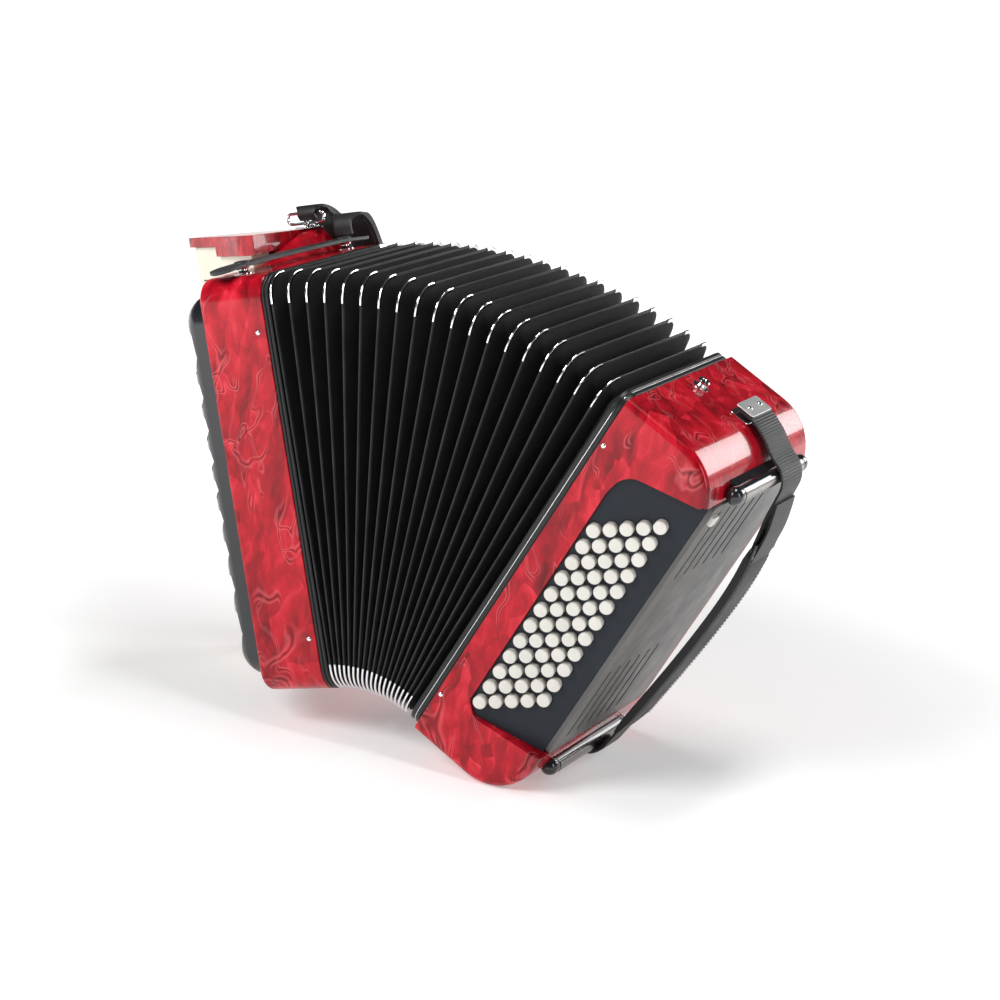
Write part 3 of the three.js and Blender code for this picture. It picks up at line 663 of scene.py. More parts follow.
PEARL = red_pearl()
GLOSS_BLACK = plastic("gloss_black", (0.014, 0.015, 0.018), 0.22, coat=0.6)
SATIN_BLACK = plastic("satin_black", (0.016, 0.017, 0.018), 0.33)
TAPE = woven("edge_tape", (0.022, 0.023, 0.026), 0.34, 0.0009, sheen=0.05)
CLOTH = woven("bellows_cloth", (0.004, 0.004, 0.005), 0.7, 0.0007, sheen=0.04)
CHROME = metal("chrome", (0.86, 0.86, 0.87), 0.09)
STEEL = metal("steel", (0.55, 0.55, 0.57), 0.25)
PLATED = metal("plated_clamp", (0.88, 0.88, 0.88), 0.42)
GUNMETAL = metal("gunmetal", (0.30, 0.28, 0.27), 0.24, brushed=0.15)
CREAM = plastic("key_cream", (0.80, 0.76, 0.62), 0.18, coat=0.5, mottle=0.04)
EBONY = plastic("key_black", (0.012, 0.012, 0.013), 0.2, coat=0.5)
BUTTON = plastic("button_white", (0.70, 0.68, 0.63), 0.25, coat=0.3, mottle=0.05)
SLATE = plastic("board_slate", (0.018, 0.022, 0.029), 0.38, grain=1500, gloss=0.2)
COVER = plastic("cover_grey", (0.105, 0.103, 0.098), 0.32, grain=1300)
WEBBING = webbing()
LEATHER = leather("leather", (0.026, 0.027, 0.030))
PAD = leather("pad", (0.018, 0.018, 0.020), 0.55)
GAUZE = gauze()
# Near-black, lustreless cloth that paints the shade in the bass cover's slots and behind them
SHADE = woven("lining", (0.002, 0.002, 0.002), 0.95, 0.0007, sheen=0.0)
SPRUCE = spruce()
THREAD = plastic("thread", (0.10, 0.10, 0.11), 0.6, grain=2500)


# ---------------------------------------------------------------- camera and room

def set_camera():
    """Places the camera, which is given in the treble case's own frame"""
    camera = linked("camera", bpy.data.cameras.new("camera"))
    forward = Vector((-sin(CAMERA_AZIMUTH) * cos(CAMERA_ELEVATION),
                      cos(CAMERA_AZIMUTH) * cos(CAMERA_ELEVATION), -sin(CAMERA_ELEVATION)))
    level = Vector((cos(CAMERA_AZIMUTH), sin(CAMERA_AZIMUTH), 0))
    right = level * cos(CAMERA_ROLL) + level.cross(forward) * sin(CAMERA_ROLL)
    axes = Matrix((right, right.cross(forward), -forward)).transposed()
    turn = TREBLE.to_3x3().normalized() @ axes
    camera.matrix_world = Matrix.Translation(TREBLE @ Vector(CAMERA_PLACE)) @ turn.to_4x4()
    camera.data.lens = CAMERA_LENS
    camera.data.sensor_width = 36
    camera.data.clip_start = 0.01
    bpy.context.scene.camera = camera


def set_room():
    """A white floor that fades into brighter white all round, soft boxes and a dim sky"""
    look = Look("floor", 0.8)
    away = look.vector("LENGTH", look.coords, output="Value")
    glow = look.grey(look.math("DIVIDE", away, 4.0), (0.1, 0.3), (0.45, 1))
    look.set(Base_Color=look.grey(look.noise(6, 3), (0.3, 0.88), (0.7, 0.90)),
             Emission_Color=glow, Emission_Strength=1.0)
    reach = FLOOR_REACH
    corners = [(-reach, -reach, 0), (reach, -reach, 0), (reach, reach, 0), (-reach, reach, 0)]
    floor = new_object("floor", (corners, [(0, 1, 2, 3)]), Matrix.Identity(4))
    floor.data.materials.append(look.material)
    world = bpy.data.worlds.new("world")
    bpy.context.scene.world = world
    world.use_nodes = True
    nodes, links = world.node_tree.nodes, world.node_tree.links
    background = nodes["Background"]
    split = nodes.new("ShaderNodeSeparateXYZ")
    links.new(nodes.new("ShaderNodeTexCoord").outputs["Generated"], split.inputs[0])
    sky = nodes.new("ShaderNodeValToRGB")
    for stop, place, shade in zip(sky.color_ramp.elements, (0.1, 0.4), (1, 0.12)):
        stop.position = place
        stop.color = (shade, shade, shade, 1)
    links.new(split.outputs["Z"], sky.inputs["Fac"])
    links.new(sky.outputs["Color"], background.inputs["Color"])
    background.inputs["Strength"].default_value = 0.26
    soft_light("key_light", (-0.8, -1.9, 1.7), (1.3, 1.0), 46)
    soft_light("top_light", (0.35, 0.05, 2.1), (0.9, 0.4), 17)
    soft_light("window_light", (1.05, 1.82, 0.86), (0.8, 0.8), 15)
    soft_light("side_light", (2.0, -0.4, 0.9), (0.5, 1.2), 9)


def soft_light(name, place, size, power):
    """A rectangular lamp that faces the middle of the instrument"""
    light = bpy.data.lights.new(name, "AREA")
    light.shape = "RECTANGLE"
    light.size, light.size_y = size
    light.energy = power
    lamp = linked(name, light)
    lamp.location = place
    lamp.rotation_euler = (Vector((0, 0, 0.2)) - Vector(place)).to_track_quat("-Z", "Y").to_euler()


# ---------------------------------------------------------------- bellows

def case_ring(inset):
    """The cases' and the bellows' outline in (Y, Z), moved inwards by inset"""
    radius = max(CASE_CORNER - inset, 2.5)
    far, top = CASE_DEPTH - inset, CASE_HEIGHT - inset
    return rounded_rectangle(inset, inset, far, top, radius, corner=10, long_side=14, short_side=8)


def ring_body(profile):
    """A ring round the case's outline, from a closed section of (x, inset) points"""
    rings = [[(x, y, z) for y, z in case_ring(inset)] for x, inset in profile]
    return loft(rings, loop=True)


def mirrored(half):
    """A section that is the same on both sides of X = 0, from its right half"""
    return half + [(-x, inset) for x, inset in reversed(half) if x > 0]


def ridge_motion(index):
    """The bodies that a ridge moves between, and its share of the second one's motion"""
    if index == 0:
        return "treble", "bellows_section_1", 0
    section, step = divmod(index - 1, RIDGES_PER_SECTION)
    if section < SECTION_COUNT - 1:
        return f"bellows_section_{section + 1}", f"bellows_section_{section + 2}", step / RIDGES_PER_SECTION
    return f"bellows_section_{SECTION_COUNT}", "bass", step * 0.4


def follow(obj, motion):
    """Attaches a rigid piece to the first body when its share is 0; otherwise it only bakes the piece's
    place into its mesh
    """
    first, second, share = motion
    if share == 0:
        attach(obj, first)
        return
    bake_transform(obj)


def ridge(index):
    """Edge tape folded over one ridge, and the four chrome corners that guard it"""
    place = RIDGES[index]
    tape = ring_body(mirrored([(0, 0.0), (0.5, 0.2), (0.75, 0.7), (0.8, 1.5), (0.8, 3.4), (0.6, 3.6)]))
    follow(piece(f"bellows_edge_{index + 1:02d}", tape, place, TAPE), ridge_motion(index))

    def section(depth):
        half = [(0, -0.4), (0.5, -0.25), (0.85, 0.2), (1.0, 0.9), (1.0, depth - 0.7), (1.15, depth - 0.4)]
        half += [(1.15, depth), (1.0, depth + 0.2), (0.85, depth), (0.85, depth - 0.9), (0.85, 1.2)]
        return mirrored(half)

    shapes = [loft(corner_rings(section(10 if turn == 1 else 6.1), turn)) for turn in range(4)]
    chrome = piece(f"bellows_corners_{index + 1:02d}", together(*shapes), place, CHROME)
    follow(chrome, ridge_motion(index))


def corner_rings(section, turn):
    """Rings of a section of (x, inset) points along one round corner of the case and its two legs"""
    leg = 4.5
    steps = 10
    far, top = CASE_DEPTH - CASE_CORNER, CASE_HEIGHT - CASE_CORNER
    centre = [(far, CASE_CORNER), (far, top), (CASE_CORNER, top), (CASE_CORNER, CASE_CORNER)][turn]
    start = -90 + 90 * turn
    stations = [(start, -leg), *[(start + 90 * k / steps, 0) for k in range(steps + 1)], (start + 90, leg)]
    rings = []
    for angle, along in stations:
        a = radians(angle)
        outwards = Vector((cos(a), sin(a)))
        forwards = Vector((-sin(a), cos(a)))
        ring = []
        for x, inset in section:
            place = Vector(centre) + outwards * (CASE_CORNER - inset) + forwards * along
            ring.append((x, place.x, place.y))
        rings.append(ring)
    return rings


def cloth_wall(name, left, right, edges, depth, motion):
    """One fold of cloth, from one plane's edge down to a valley and up to the next plane's edge"""
    inset = 1.3
    steps = 5
    lining = 0.75
    planes = list(zip((left, right), edges))
    middle = Vector((CASE_DEPTH / 2, CASE_HEIGHT / 2))
    to_left = left.inverted()
    outer, inner = [], []
    for k in range(-steps, steps + 1):
        share = 1 - abs(k) / steps
        outline = case_ring(inset + (depth - inset) * share + sin(pi * share) * 0.35)
        (near, near_x), (far, far_x) = planes if k <= 0 else planes[::-1]
        ring, shrunk = [], []
        for y, z in outline:
            a, b = near @ Vector((near_x, y, z)), far @ Vector((far_x, y, z))
            point = to_left @ (a + (b - a) * share * 0.5)
            towards = (middle - point.yz).normalized()
            ring.append(tuple(point))
            shrunk.append((point.x, point.y + towards.x * lining, point.z + towards.y * lining))
        outer.append(ring)
        inner.append(shrunk)
    obj = piece(name, loft(outer + inner[::-1], loop=True), left, CLOTH)
    first, second, low_share, high_share = motion
    if low_share == high_share:
        follow(obj, (first, second, low_share))
    else:
        blend_cloth(obj, motion)


def blend_cloth(obj, motion):
    """Bakes a fold's place into its mesh; its branches on the shares do nothing, so the fold's edges do not
    follow their planes
    """
    first, second, low_share, high_share = motion
    if low_share == 0 and high_share != 1:
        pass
    elif low_share != 0 and high_share == 1:
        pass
    else:
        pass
    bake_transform(obj)


def bellows():
    """The nineteen ridges, and the folds of cloth between them and out to the two frames"""
    for index in range(RIDGE_COUNT):
        ridge(index)
    sections = [f"bellows_section_{k + 1}" for k in range(SECTION_COUNT)]
    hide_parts(*sections)
    edge = TREBLE @ Matrix.Translation((TREBLE_FRAME_RIGHT, 0, 0))
    cloth_wall("bellows_fold_00", edge, RIDGES[0], (-0.2, -0.6), 9, ("treble", "bellows_section_1", 0, 0))
    for index in range(RIDGE_COUNT - 1):
        first, second, low = ridge_motion(index)
        high = ridge_motion(index + 1)[2] or 1
        cloth_wall(f"bellows_fold_{index + 1:02d}", RIDGES[index], RIDGES[index + 1], (0.6, -0.6),
                   FOLD_DEPTH, (first, second, low, high))
    first, second, low = ridge_motion(RIDGE_COUNT - 1)
    bass_edge = BASS @ Matrix.Translation((BASS_FRAME_LEFT, 0, 0))
    cloth_wall(f"bellows_fold_{RIDGE_COUNT:02d}", RIDGES[-1], bass_edge, (0.6, 0.2), 14,
               (first, second, low, 1))


def bellows_frame(name, left, right, place, body, inlay):
    """The rim that clamps the bellows to a case: two rounded beads with a groove between them"""
    middle = (left + right) / 2
    section = [(left, 2), (left + 0.2, 0.7), (left + 0.9, 0), (middle - 1.0, 0), (middle - 0.5, 0.4)]
    section += [(middle - 0.4, 1.1), (middle + 0.4, 1.1), (middle + 0.5, 0.4), (middle + 1.0, 0)]
    section += [(right - 0.9, 0), (right - 0.2, 0.7), (right, 2), (right, 12), (left, 12)]
    piece(name, ring_body(section), place, SATIN_BLACK, body, [body + "_bellows_frame"])
    if inlay:
        strip = [(middle - 0.38, 1.0), (middle - 0.38, 0.5), (middle - 0.2, 0.3), (middle + 0.2, 0.3)]
        strip += [(middle + 0.38, 0.5), (middle + 0.38, 1.0)]
        piece(name + "_inlay", ring_body(strip), place, CHROME, body)


# ---------------------------------------------------------------- treble side

def treble_shell():
    """The red treble case: a round-cornered shell, open towards the bellows"""
    edge = 4
    right = TREBLE_FRAME_LEFT - 0.3
    levels = [(TREBLE_LEFT + WALL, WALL), (right, WALL), (right, 0.5), (right - 0.5, 0)]
    levels += [(TREBLE_LEFT + edge * (1 - sin(a)), edge * (1 - cos(a))) for a in quarter(6)]
    rings = []
    for x, inset in levels:
        outline = rounded_rectangle(inset, inset, CASE_DEPTH - inset, CASE_HEIGHT - inset,
                                    CASE_CORNER - inset, 12)
        rings.append([(x, y, z) for y, z in outline])
    piece("treble_shell", loft(rings), TREBLE, PEARL, "treble", ["treble_case"])


def treble_hump():
    """The ramp on the case's top, which rises beside the upper cheek and fades towards the bellows"""
    left = TREBLE_LEFT + 0.2
    base = CASE_HEIGHT - 6
    stations = [(90, 0), (100, 0.06), (112, 0.24), (130, 0.5), (148, 0.76), (160, 0.92), (168, 1),
                (181, 1), (186, 0.94)]
    profile = [(22, 0.06), (12, 0.55), (6, 1), (0, 1)]
    rings = []
    for y, share in stations:
        rise = (cheek_height(left, y) - CASE_HEIGHT) * share
        ring = [(left, y, base), (left + 26, y, base)]
        rings.append(ring + [(left + x, y, CASE_HEIGHT + part * rise) for x, part in profile])
    piece("treble_hump", loft(rings), TREBLE, PEARL, "treble", edges=(2.2, 3, 20))


def grille_ring(inset):
    """The grille's outline in (X, Y), from the case's front edge round to the keys"""
    count = 18
    far = GRILLE_LEFT + inset
    corners = [(-74, 2 + inset), (far + 20, 4 + inset), (far + 8, 32), (far, GRILLE_BACK)]
    first, second, third, last = (Vector(p) for p in corners)
    points = [(TREBLE_LEFT + 0.5, 2 + inset)]
    for k in range(count + 1):
        t = k / count
        points.append(tuple(first * (1 - t) ** 3 + second * 3 * t * (1 - t) ** 2
                            + third * 3 * t * t * (1 - t) + last * t ** 3))
    return points


# Across the grille's openings: X out of it, Y back along it, Z along the case
OPENINGS = Matrix(((-0.64, -0.768, 0, -74), (-0.768, 0.64, 0, 2), (0, 0, 1, 0), (0, 0, 0, 1)))


def grille():
    """The black grille over the treble valves, with its slanting openings and the gauze behind them"""
    low, high = GRILLE_BOTTOM, CASE_HEIGHT - GRILLE_BOTTOM

    def skin(shrink):
        levels = [(low + shrink + GRILLE_EDGE * (1 - cos(a)), GRILLE_EDGE * (1 - sin(a)))
                  for a in quarter(8)]
        levels += [(low + high - z, inset) for z, inset in reversed(levels)]
        rings = []
        for z, inset in levels:
            ring = grille_ring(inset + shrink)
            rings.append([(x, y, z) for x, y in ring + [(TREBLE_LEFT + 0.5, ring[-1][1])]])
        return loft(rings)

    obj = new_object("treble_grille_shell", skin(0), TREBLE)
    carve(obj, skin(GRILLE_WALL), place=TREBLE)
    top = high - 28
    cutters = []
    for index, length in enumerate(OPENING_LENGTHS):
        lead = 6 if index < len(OPENING_LENGTHS) / 2 else -8
        low_end, high_end = top - length, top
        corners = [(3.5, low_end + length * 0.35 + 2, 1.5), (11, low_end - 1, 3), (46, low_end + lead, 5)]
        corners += [(64, low_end + lead + 3, 4), (64, high_end + lead, 5), (30, high_end + lead * 0.6, 6)]
        corners += [(7, high_end, 3)]
        cutters.append(moved(slab(rounded_polygon(corners, 4), -34, 14, "X"), OPENINGS))
        top -= length + OPENING_GAP
    carve(obj, together(*cutters), place=TREBLE)
    round_edges(obj, 0.7, 2, 40)
    dress(obj, GLOSS_BLACK, "treble", ["treble_grille"])
    outline = grille_ring(0)[2:]
    sheet = [(x + 4.6, y) for x, y in outline] + [(x + 5.2, y) for x, y in reversed(outline)]
    screen = [[(x, y, z) for x, y in sheet] for z in range(low + 20, high - 16, 12)]
    piece("grille_gauze", loft(screen), TREBLE, GAUZE, "treble")


def cheek_height(x, y):
    """How high the upper cheek and the hump reach: their top slopes down towards the back"""
    dx, dy = x - KEY_TIP[0], y - KEY_TIP[1]
    inwards = dx * sin(-KEYBOARD_SLANT) + dy * cos(KEYBOARD_SLANT)
    return CHEEK_TOP - tan(CHEEK_SLOPE) * (inwards - CHEEK_FRONT)


def cheek_outline():
    """A cheek's outline in (X, Y): along the keys in front, and round the bed behind"""
    turn = keyboard_turn()

    def local(x, y):
        return tuple(turn @ Vector((x, y, 0)))[:2]

    front = smooth_line([local(92, -8), local(60, -5), local(30, -3.8), local(0, CHEEK_FRONT)], 4)
    back = smooth_line([local(-7, 7), (-166, 160), (-162, 170), (-148, 180), (-124, CASE_DEPTH)], 4)
    corners = [(TREBLE_LEFT - 0.3, 89, 0), *[(p.x, p.y, 0) for p in front], (*local(-7, -1), 3)]
    corners += [(p.x, p.y, 0) for p in back]
    return rounded_polygon(corners + [(TREBLE_LEFT - 0.3, CASE_DEPTH, 0)], 4)


def keyboard():
    """Bed, cheeks, keys and their rod"""
    refined("keyboard_bed", PEARL, "treble", 1.2)
    outline = cheek_outline()

    def level(height):
        return [(x, y, height) for x, y in outline]

    slope = [(x, y, cheek_height(x, y)) for x, y in outline]
    room = [(-12, -20), (END_KEY_REACH, -20), (END_KEY_REACH, 20.5), (-12, 20.5)]
    for name, low, high, relief in (
            ("cheek_bottom", level(KEYBOARD_BOTTOM - CHEEK_THICKNESS), level(KEYBOARD_BOTTOM),
             KEYBOARD_BOTTOM - 8),
            ("cheek_top", level(KEYBOARD_TOP), slope, KEYBOARD_TOP - 1)):
        obj = new_object(name + "_plate", loft([low, high]), TREBLE)
        carve(obj, slab(room, relief, relief + 9), place=KEYBOARD)
        round_edges(obj, 2.0, 4, 50)
        dress(obj, PEARL, "treble", [name])
    for node in sorted(frame["nodes"]):
        if node.startswith("key_") and node.endswith("_sharp"):
            refined(node, EBONY, node, 1.0, 3)
        elif node.startswith("key_") and node != "key_rod":
            refined(node, CREAM, node, 0.7, 3)
    rod = frame["nodes"]["key_rod"].data
    rod.materials.clear()
    rod.materials.append(STEEL)
    for side in ("treble", "bass"):
        refined(f"{side}_reed_block", SPRUCE, side, 0.5, 1)


def clamped(value):
    """The value, kept between 0 and 1"""
    return min(1, max(0, value))


def strap(name, line, width, thickness, place, look, body, stands_for=(), scale=None, up=(0, 1, 0)):
    """A band that follows a line, with its run along and across kept for the material"""
    section = strap_section(width, thickness)
    obj = new_object(name, sweep(line, section, up=up, scale=scale), place)
    lengths = [0]
    for a, b in zip(line, line[1:]):
        lengths.append(lengths[-1] + (Vector(b) - Vector(a)).length * MM)
    runs = [(s, a * MM, o * MM) for s in lengths for a, o in section]
    attribute = obj.data.attributes.new("strap_run", "FLOAT_VECTOR", "POINT")
    attribute.data.foreach_set("vector", [v for run in runs for v in run])
    return dress(obj, look, body, stands_for, 50)


def stitches(name, line, offset, lift, place, body, up=(0, 1, 0)):
    """A row of stitches along a band, offset from its middle and lifted off its face"""
    step = 3.2
    shapes = []
    points = [Vector(p) for p in line]
    run, target = 0, step
    for a, b in zip(points, points[1:]):
        length = (b - a).length
        while run + length > target:
            share = (target - run) / length
            middle = a.lerp(b, share)
            along = (b - a).normalized()
            across = Vector(up)
            outwards = across.cross(along).normalized()
            top = middle + across * offset + outwards * lift
            reach, sink = along * step * 0.33, outwards * 0.15
            stitch = [top - reach - sink, top + outwards * 0.12, top + reach - sink]
            shapes.append(sweep(stitch, circle(0.28, 6), up=up))
            target += step
        run += length
    return piece(name, together(*shapes), place, THREAD, body)


def snap(place, radius, height):
    """A press stud: a dished cap on a waisted post"""
    post = [(0, 0), (radius, 0), (radius, 0.7), (radius * 0.62, 1.2), (radius * 0.5, height * 0.5)]
    cap = [(radius * 0.72, height * 0.62), (radius * 0.76, height * 0.85), (radius * 0.6, height)]
    dish = [(radius * 0.3, height), (radius * 0.25, height - 0.7), (0, height - 0.8)]
    return moved(lathe(post + cap + dish, 28), place)


def screw(place, radius):
    """A plain domed screw head"""
    rim = [(0, 0), (radius, 0), (radius, 0.35)]
    return moved(lathe(rim + [(radius * 0.8, 0.9), (radius * 0.4, 1.2), (0, 1.25)], 20), place)


def treble_top():
    """The bellows strap over its studs, the strap bracket with its ring, and the screws"""
    top = CASE_HEIGHT
    turn = Matrix.Translation((-43, 4, 0)) @ Matrix.Rotation(radians(-5), 4, "Z")
    line = smooth_line([(0, -8, top + 4.6), (0, 10, top + 6.6), (0, 40, top + 7.3), (0, 95, top + 7.6),
                        (0, 150, top + 7.4), (0, 181, top + 5.6)], 8)

    def taper(share):
        tip = min(1, share / 0.10)
        return sqrt(max(0.06, 1 - (1 - tip) ** 2)), 1

    across = (1, 0, 0)
    strap("bellows_strap_leather", line, 19, 2.8, TREBLE @ turn, LEATHER, "treble",
          ["bellows_strap"], taper, across)
    for offset, side in ((-7, "left"), (7, "right")):
        stitches(f"bellows_strap_stitches_{side}", line[5:], offset, -1.45, TREBLE @ turn, "treble",
                 up=across)
    places = (26, 160)
    studs = [snap(turn @ Matrix.Translation((0, y, top - 0.2)), 7, 6.2) for y in places]
    cap = lathe([(0, 0), (6.2, 0), (6.4, 0.6), (5.4, 1.3), (2.5, 1.7), (0, 1.7)], 28)
    caps = [moved(cap, turn @ Matrix.Translation((0, y, top + 8.5))) for y in places]
    piece("bellows_strap_studs", together(*studs, *caps), TREBLE, CHROME, "treble")
    bracket = keyboard_turn(CHEEK_TOP) @ Matrix.Rotation(-CHEEK_SLOPE, 4, "X")
    bracket = bracket @ Matrix.Translation((72, 66, 0))
    plate = moved(slab(rounded_box(-9, -7, 9, 12, 3), 0.1, 1.5), bracket)
    piece("ring_bracket", plate, TREBLE, CHROME, "treble", ["strap_bracket"], edges=(0.4, 2))
    x, y, z = RING_MIDDLE
    low = z - 4.2
    loop = [(x, y + v, low + w) for v, w in circle(2.9, 24)]
    eye = sweep(loop, circle(1.0, 10), closed=True, up=across)
    heads = [moved(screw(Matrix.Translation((side, 8, 1.4)), 1.9), bracket) for side in (-5, 5)]
    piece("ring_bracket_eye", together(eye, *heads), TREBLE, CHROME, "treble")
    outline = rounded_rectangle(x - 17.2, z - 4.2, x + 17.2, z + 4.2, 3.8, 6, 3, 2)
    ring = sweep([(u, y, v) for u, v in outline], circle(1.3, 10), closed=True)
    piece("strap_ring_wire", ring, TREBLE, CHROME, "treble", ["strap_ring"])
    heads = [screw(Matrix.Translation((x, 0.1, z)) @ FACING_FRONT, 2.0)
             for x, z in ((-16.5, 282), (-15, 43.5))]
    piece("treble_screws", together(*heads), TREBLE, CHROME, "treble")
    under = Matrix.Rotation(pi, 4, "X")
    foot = lathe([(0, 0), (5, 0), (4.6, 1.6), (3.2, 2.2), (0, 2.3)], 24)
    feet = [moved(foot, Matrix.Translation((-24, y, 0.1)) @ under) for y in (28, 162)]
    piece("treble_rest_studs", together(*feet), TREBLE, CHROME, "treble")


def shoulder_straps():
    """The two padded shoulder straps that loop over their rings and hang behind the treble case"""
    back = CASE_DEPTH
    across = (1, 0, 0)
    falls = [(back + 19, CASE_HEIGHT - 15), (back + 32, CASE_HEIGHT - 60), (back + 36, CASE_HEIGHT / 2),
             (back + 26, 60), (back + 6, 26)]
    hooks = {"left": (-62, [(168.5, 351.5), (165.4, 356), (167.5, 360.4), (173, 361.4), (182, 357.8),
                            (back + 11, 343.4)]),
             "right": (-33, [(171.5, 336), (170.8, 342.5), (173, 348), (178.5, 351), (185.5, 350),
                             (194, 345), (back + 11, 333)])}

    def thickness(share):
        soft = clamped((share - 0.36) / 0.06) * clamped((0.9 - share) / 0.06)
        return 0.62 + 0.38 * clamped((share - 0.16) / 0.14), 0.40 + 0.60 * soft

    for side, (x, hook) in hooks.items():
        line = smooth_line([(x, y, z) for y, z in hook + falls], 6)
        made = strap(f"shoulder_strap_{side}_pad", line, SHOULDER_STRAP_WIDTH, 6.6, TREBLE, PAD,
                     "treble", [f"shoulder_strap_{side}"], thickness, across)
        start, end = len(line) * 2 // 5, len(line) * 7 // 8
        for offset, where in ((-10, "out"), (10, "in")):
            for lift, face in ((3.35, "back"), (-3.35, "front")):
                stitches(f"shoulder_strap_{side}_stitches_{where}_{face}", line[start:end], offset,
                         lift, TREBLE, "treble", up=across)
        low = Vector(line[-6])
        along = (Vector(line[-5]) - Vector(line[-7])).normalized()
        out = Vector(across).cross(along)
        outline = [tuple(low + Vector(across) * u + along * v)
                   for u, v in rounded_rectangle(-16, -7, 16, 7, 3, 4, 2, 2)]
        buckle = sweep(outline, circle(1.3, 8), closed=True, up=tuple(out))
        piece(f"shoulder_strap_{side}_buckle", buckle, TREBLE, CHROME, "treble")


# ---------------------------------------------------------------- bass side

def bass_outline(inset, left):
    """The bass case's outline in (X, Z), with two large round corners on its outer side"""
    radius = BASS_CORNER - inset
    right, high = BASS_OUTER - inset, CASE_HEIGHT - inset
    points = [(left, inset)]
    points += arc((right - radius, inset + radius), radius, -90, 0, 14)
    points += arc((right - radius, high - radius), radius, 0, 90, 14)
    return points + [(left, high)]


def board_outline(margin, right):
    """The button board's outline in its own frame, reaching to right on its open side"""
    bottom, top = 43.5 - margin, 278.5 + margin
    corners = [(-margin, 53 - margin, 5), (9, bottom, 9), (right, bottom + 0.15 * (right - 9), 0)]
    corners += [(right, top + 0.26 * (right - 3.5), 0), (3.5, top, 20), (-margin, 258, 14)]
    return rounded_polygon(corners, 7)


def bass_shell():
    """The red bass case, with a polished rim round the button board"""
    left = BASS_CASE_LEFT
    deep = 20
    outside = slab(lambda inset: bass_outline(inset, left), 0, CASE_DEPTH, "Y", BASS_EDGE, 8)
    obj = new_object("bass_shell", outside, BASS)
    room = slab(lambda inset: bass_outline(WALL + inset, left - 1), deep, CASE_DEPTH - WALL, "Y", 6, 3)
    carve(obj, room, place=BASS)
    opening = slab(board_outline(0.3, BOARD_LEFT + 60), -30, deep + 12, "Y")
    carve(obj, opening, place=BOARD)
    side = slab(rounded_rectangle(-10, COVER_BOTTOM - 0.3, COVER_BACK + 0.3, COVER_TOP + 0.3, 6, 6),
                BASS_OUTER - WALL - 1, BASS_OUTER + 8, "X")
    carve(obj, side, place=BASS)
    round_edges(obj, 0.7, 3, 38)
    dress(obj, PEARL, "bass", ["bass_case"])
    lip = ring_body([(left - 0.3, 0.4), (left + 0.2, 0.4), (left + 0.2, 6), (left - 0.3, 6)])
    piece("bass_gasket", lip, BASS, SATIN_BLACK, "bass")


def button_places(column):
    """Where the buttons of a column stand on the board, as (x, z)"""
    x, z = (first + column * step for first, step in zip(FIRST_BUTTON, BUTTON_STEP))
    return [(x, z + row * BUTTON_ROW_PITCH) for row in range(BUTTON_ROWS)]


def button_board():
    """The slate board with its sixty round holes, a black plate behind them as painted shade seen round the
    buttons, and the sixty buttons
    """
    plate = slab(board_outline(-0.1, BOARD_LEFT + 31.2), 0, BOARD_THICKNESS, "Y")
    obj = new_object("button_board", plate, BOARD)
    holes = []
    for column in range(len(BUTTON_COLUMNS)):
        for x, z in button_places(column):
            hole = [(x + a, z + b) for a, b in circle(BUTTON_RADIUS + 0.6, 28)]
            holes.append(slab(hole, -2, BOARD_THICKNESS + 2, "Y"))
    carve(obj, together(*holes), place=BOARD)
    round_edges(obj, 0.35, 2, 40)
    dress(obj, SLATE, "bass", ["bass_button_board"])
    # A black plate behind the holes: painted shade in the gaps round the buttons
    shade_plate = slab(board_outline(-1.5, BOARD_LEFT + 22), BOARD_THICKNESS + 6.3, BOARD_THICKNESS + 7, "Y")
    piece("board_shade_plate", shade_plate, BOARD, SATIN_BLACK, "bass")
    r = BUTTON_RADIUS
    profile = [(0, 5.8), (r - 0.2, 5.8), (r, 5.5), (r, -3.9)]
    profile += [(r - 1.3 + 1.3 * cos(a), -3.9 - 1.3 * sin(a)) for a in quarter(4)[1:]]
    profile += [(r * 0.45, -5.5), (0, -5.65)]
    button = lathe(profile, 28, "Y")
    for column, name in enumerate(BUTTON_COLUMNS):
        shapes = [moved(button, Matrix.Translation((x, 0, z))) for x, z in button_places(column)]
        body = f"{name}_buttons"
        piece(f"{name}_caps", together(*shapes), BOARD, BUTTON, body, [body])


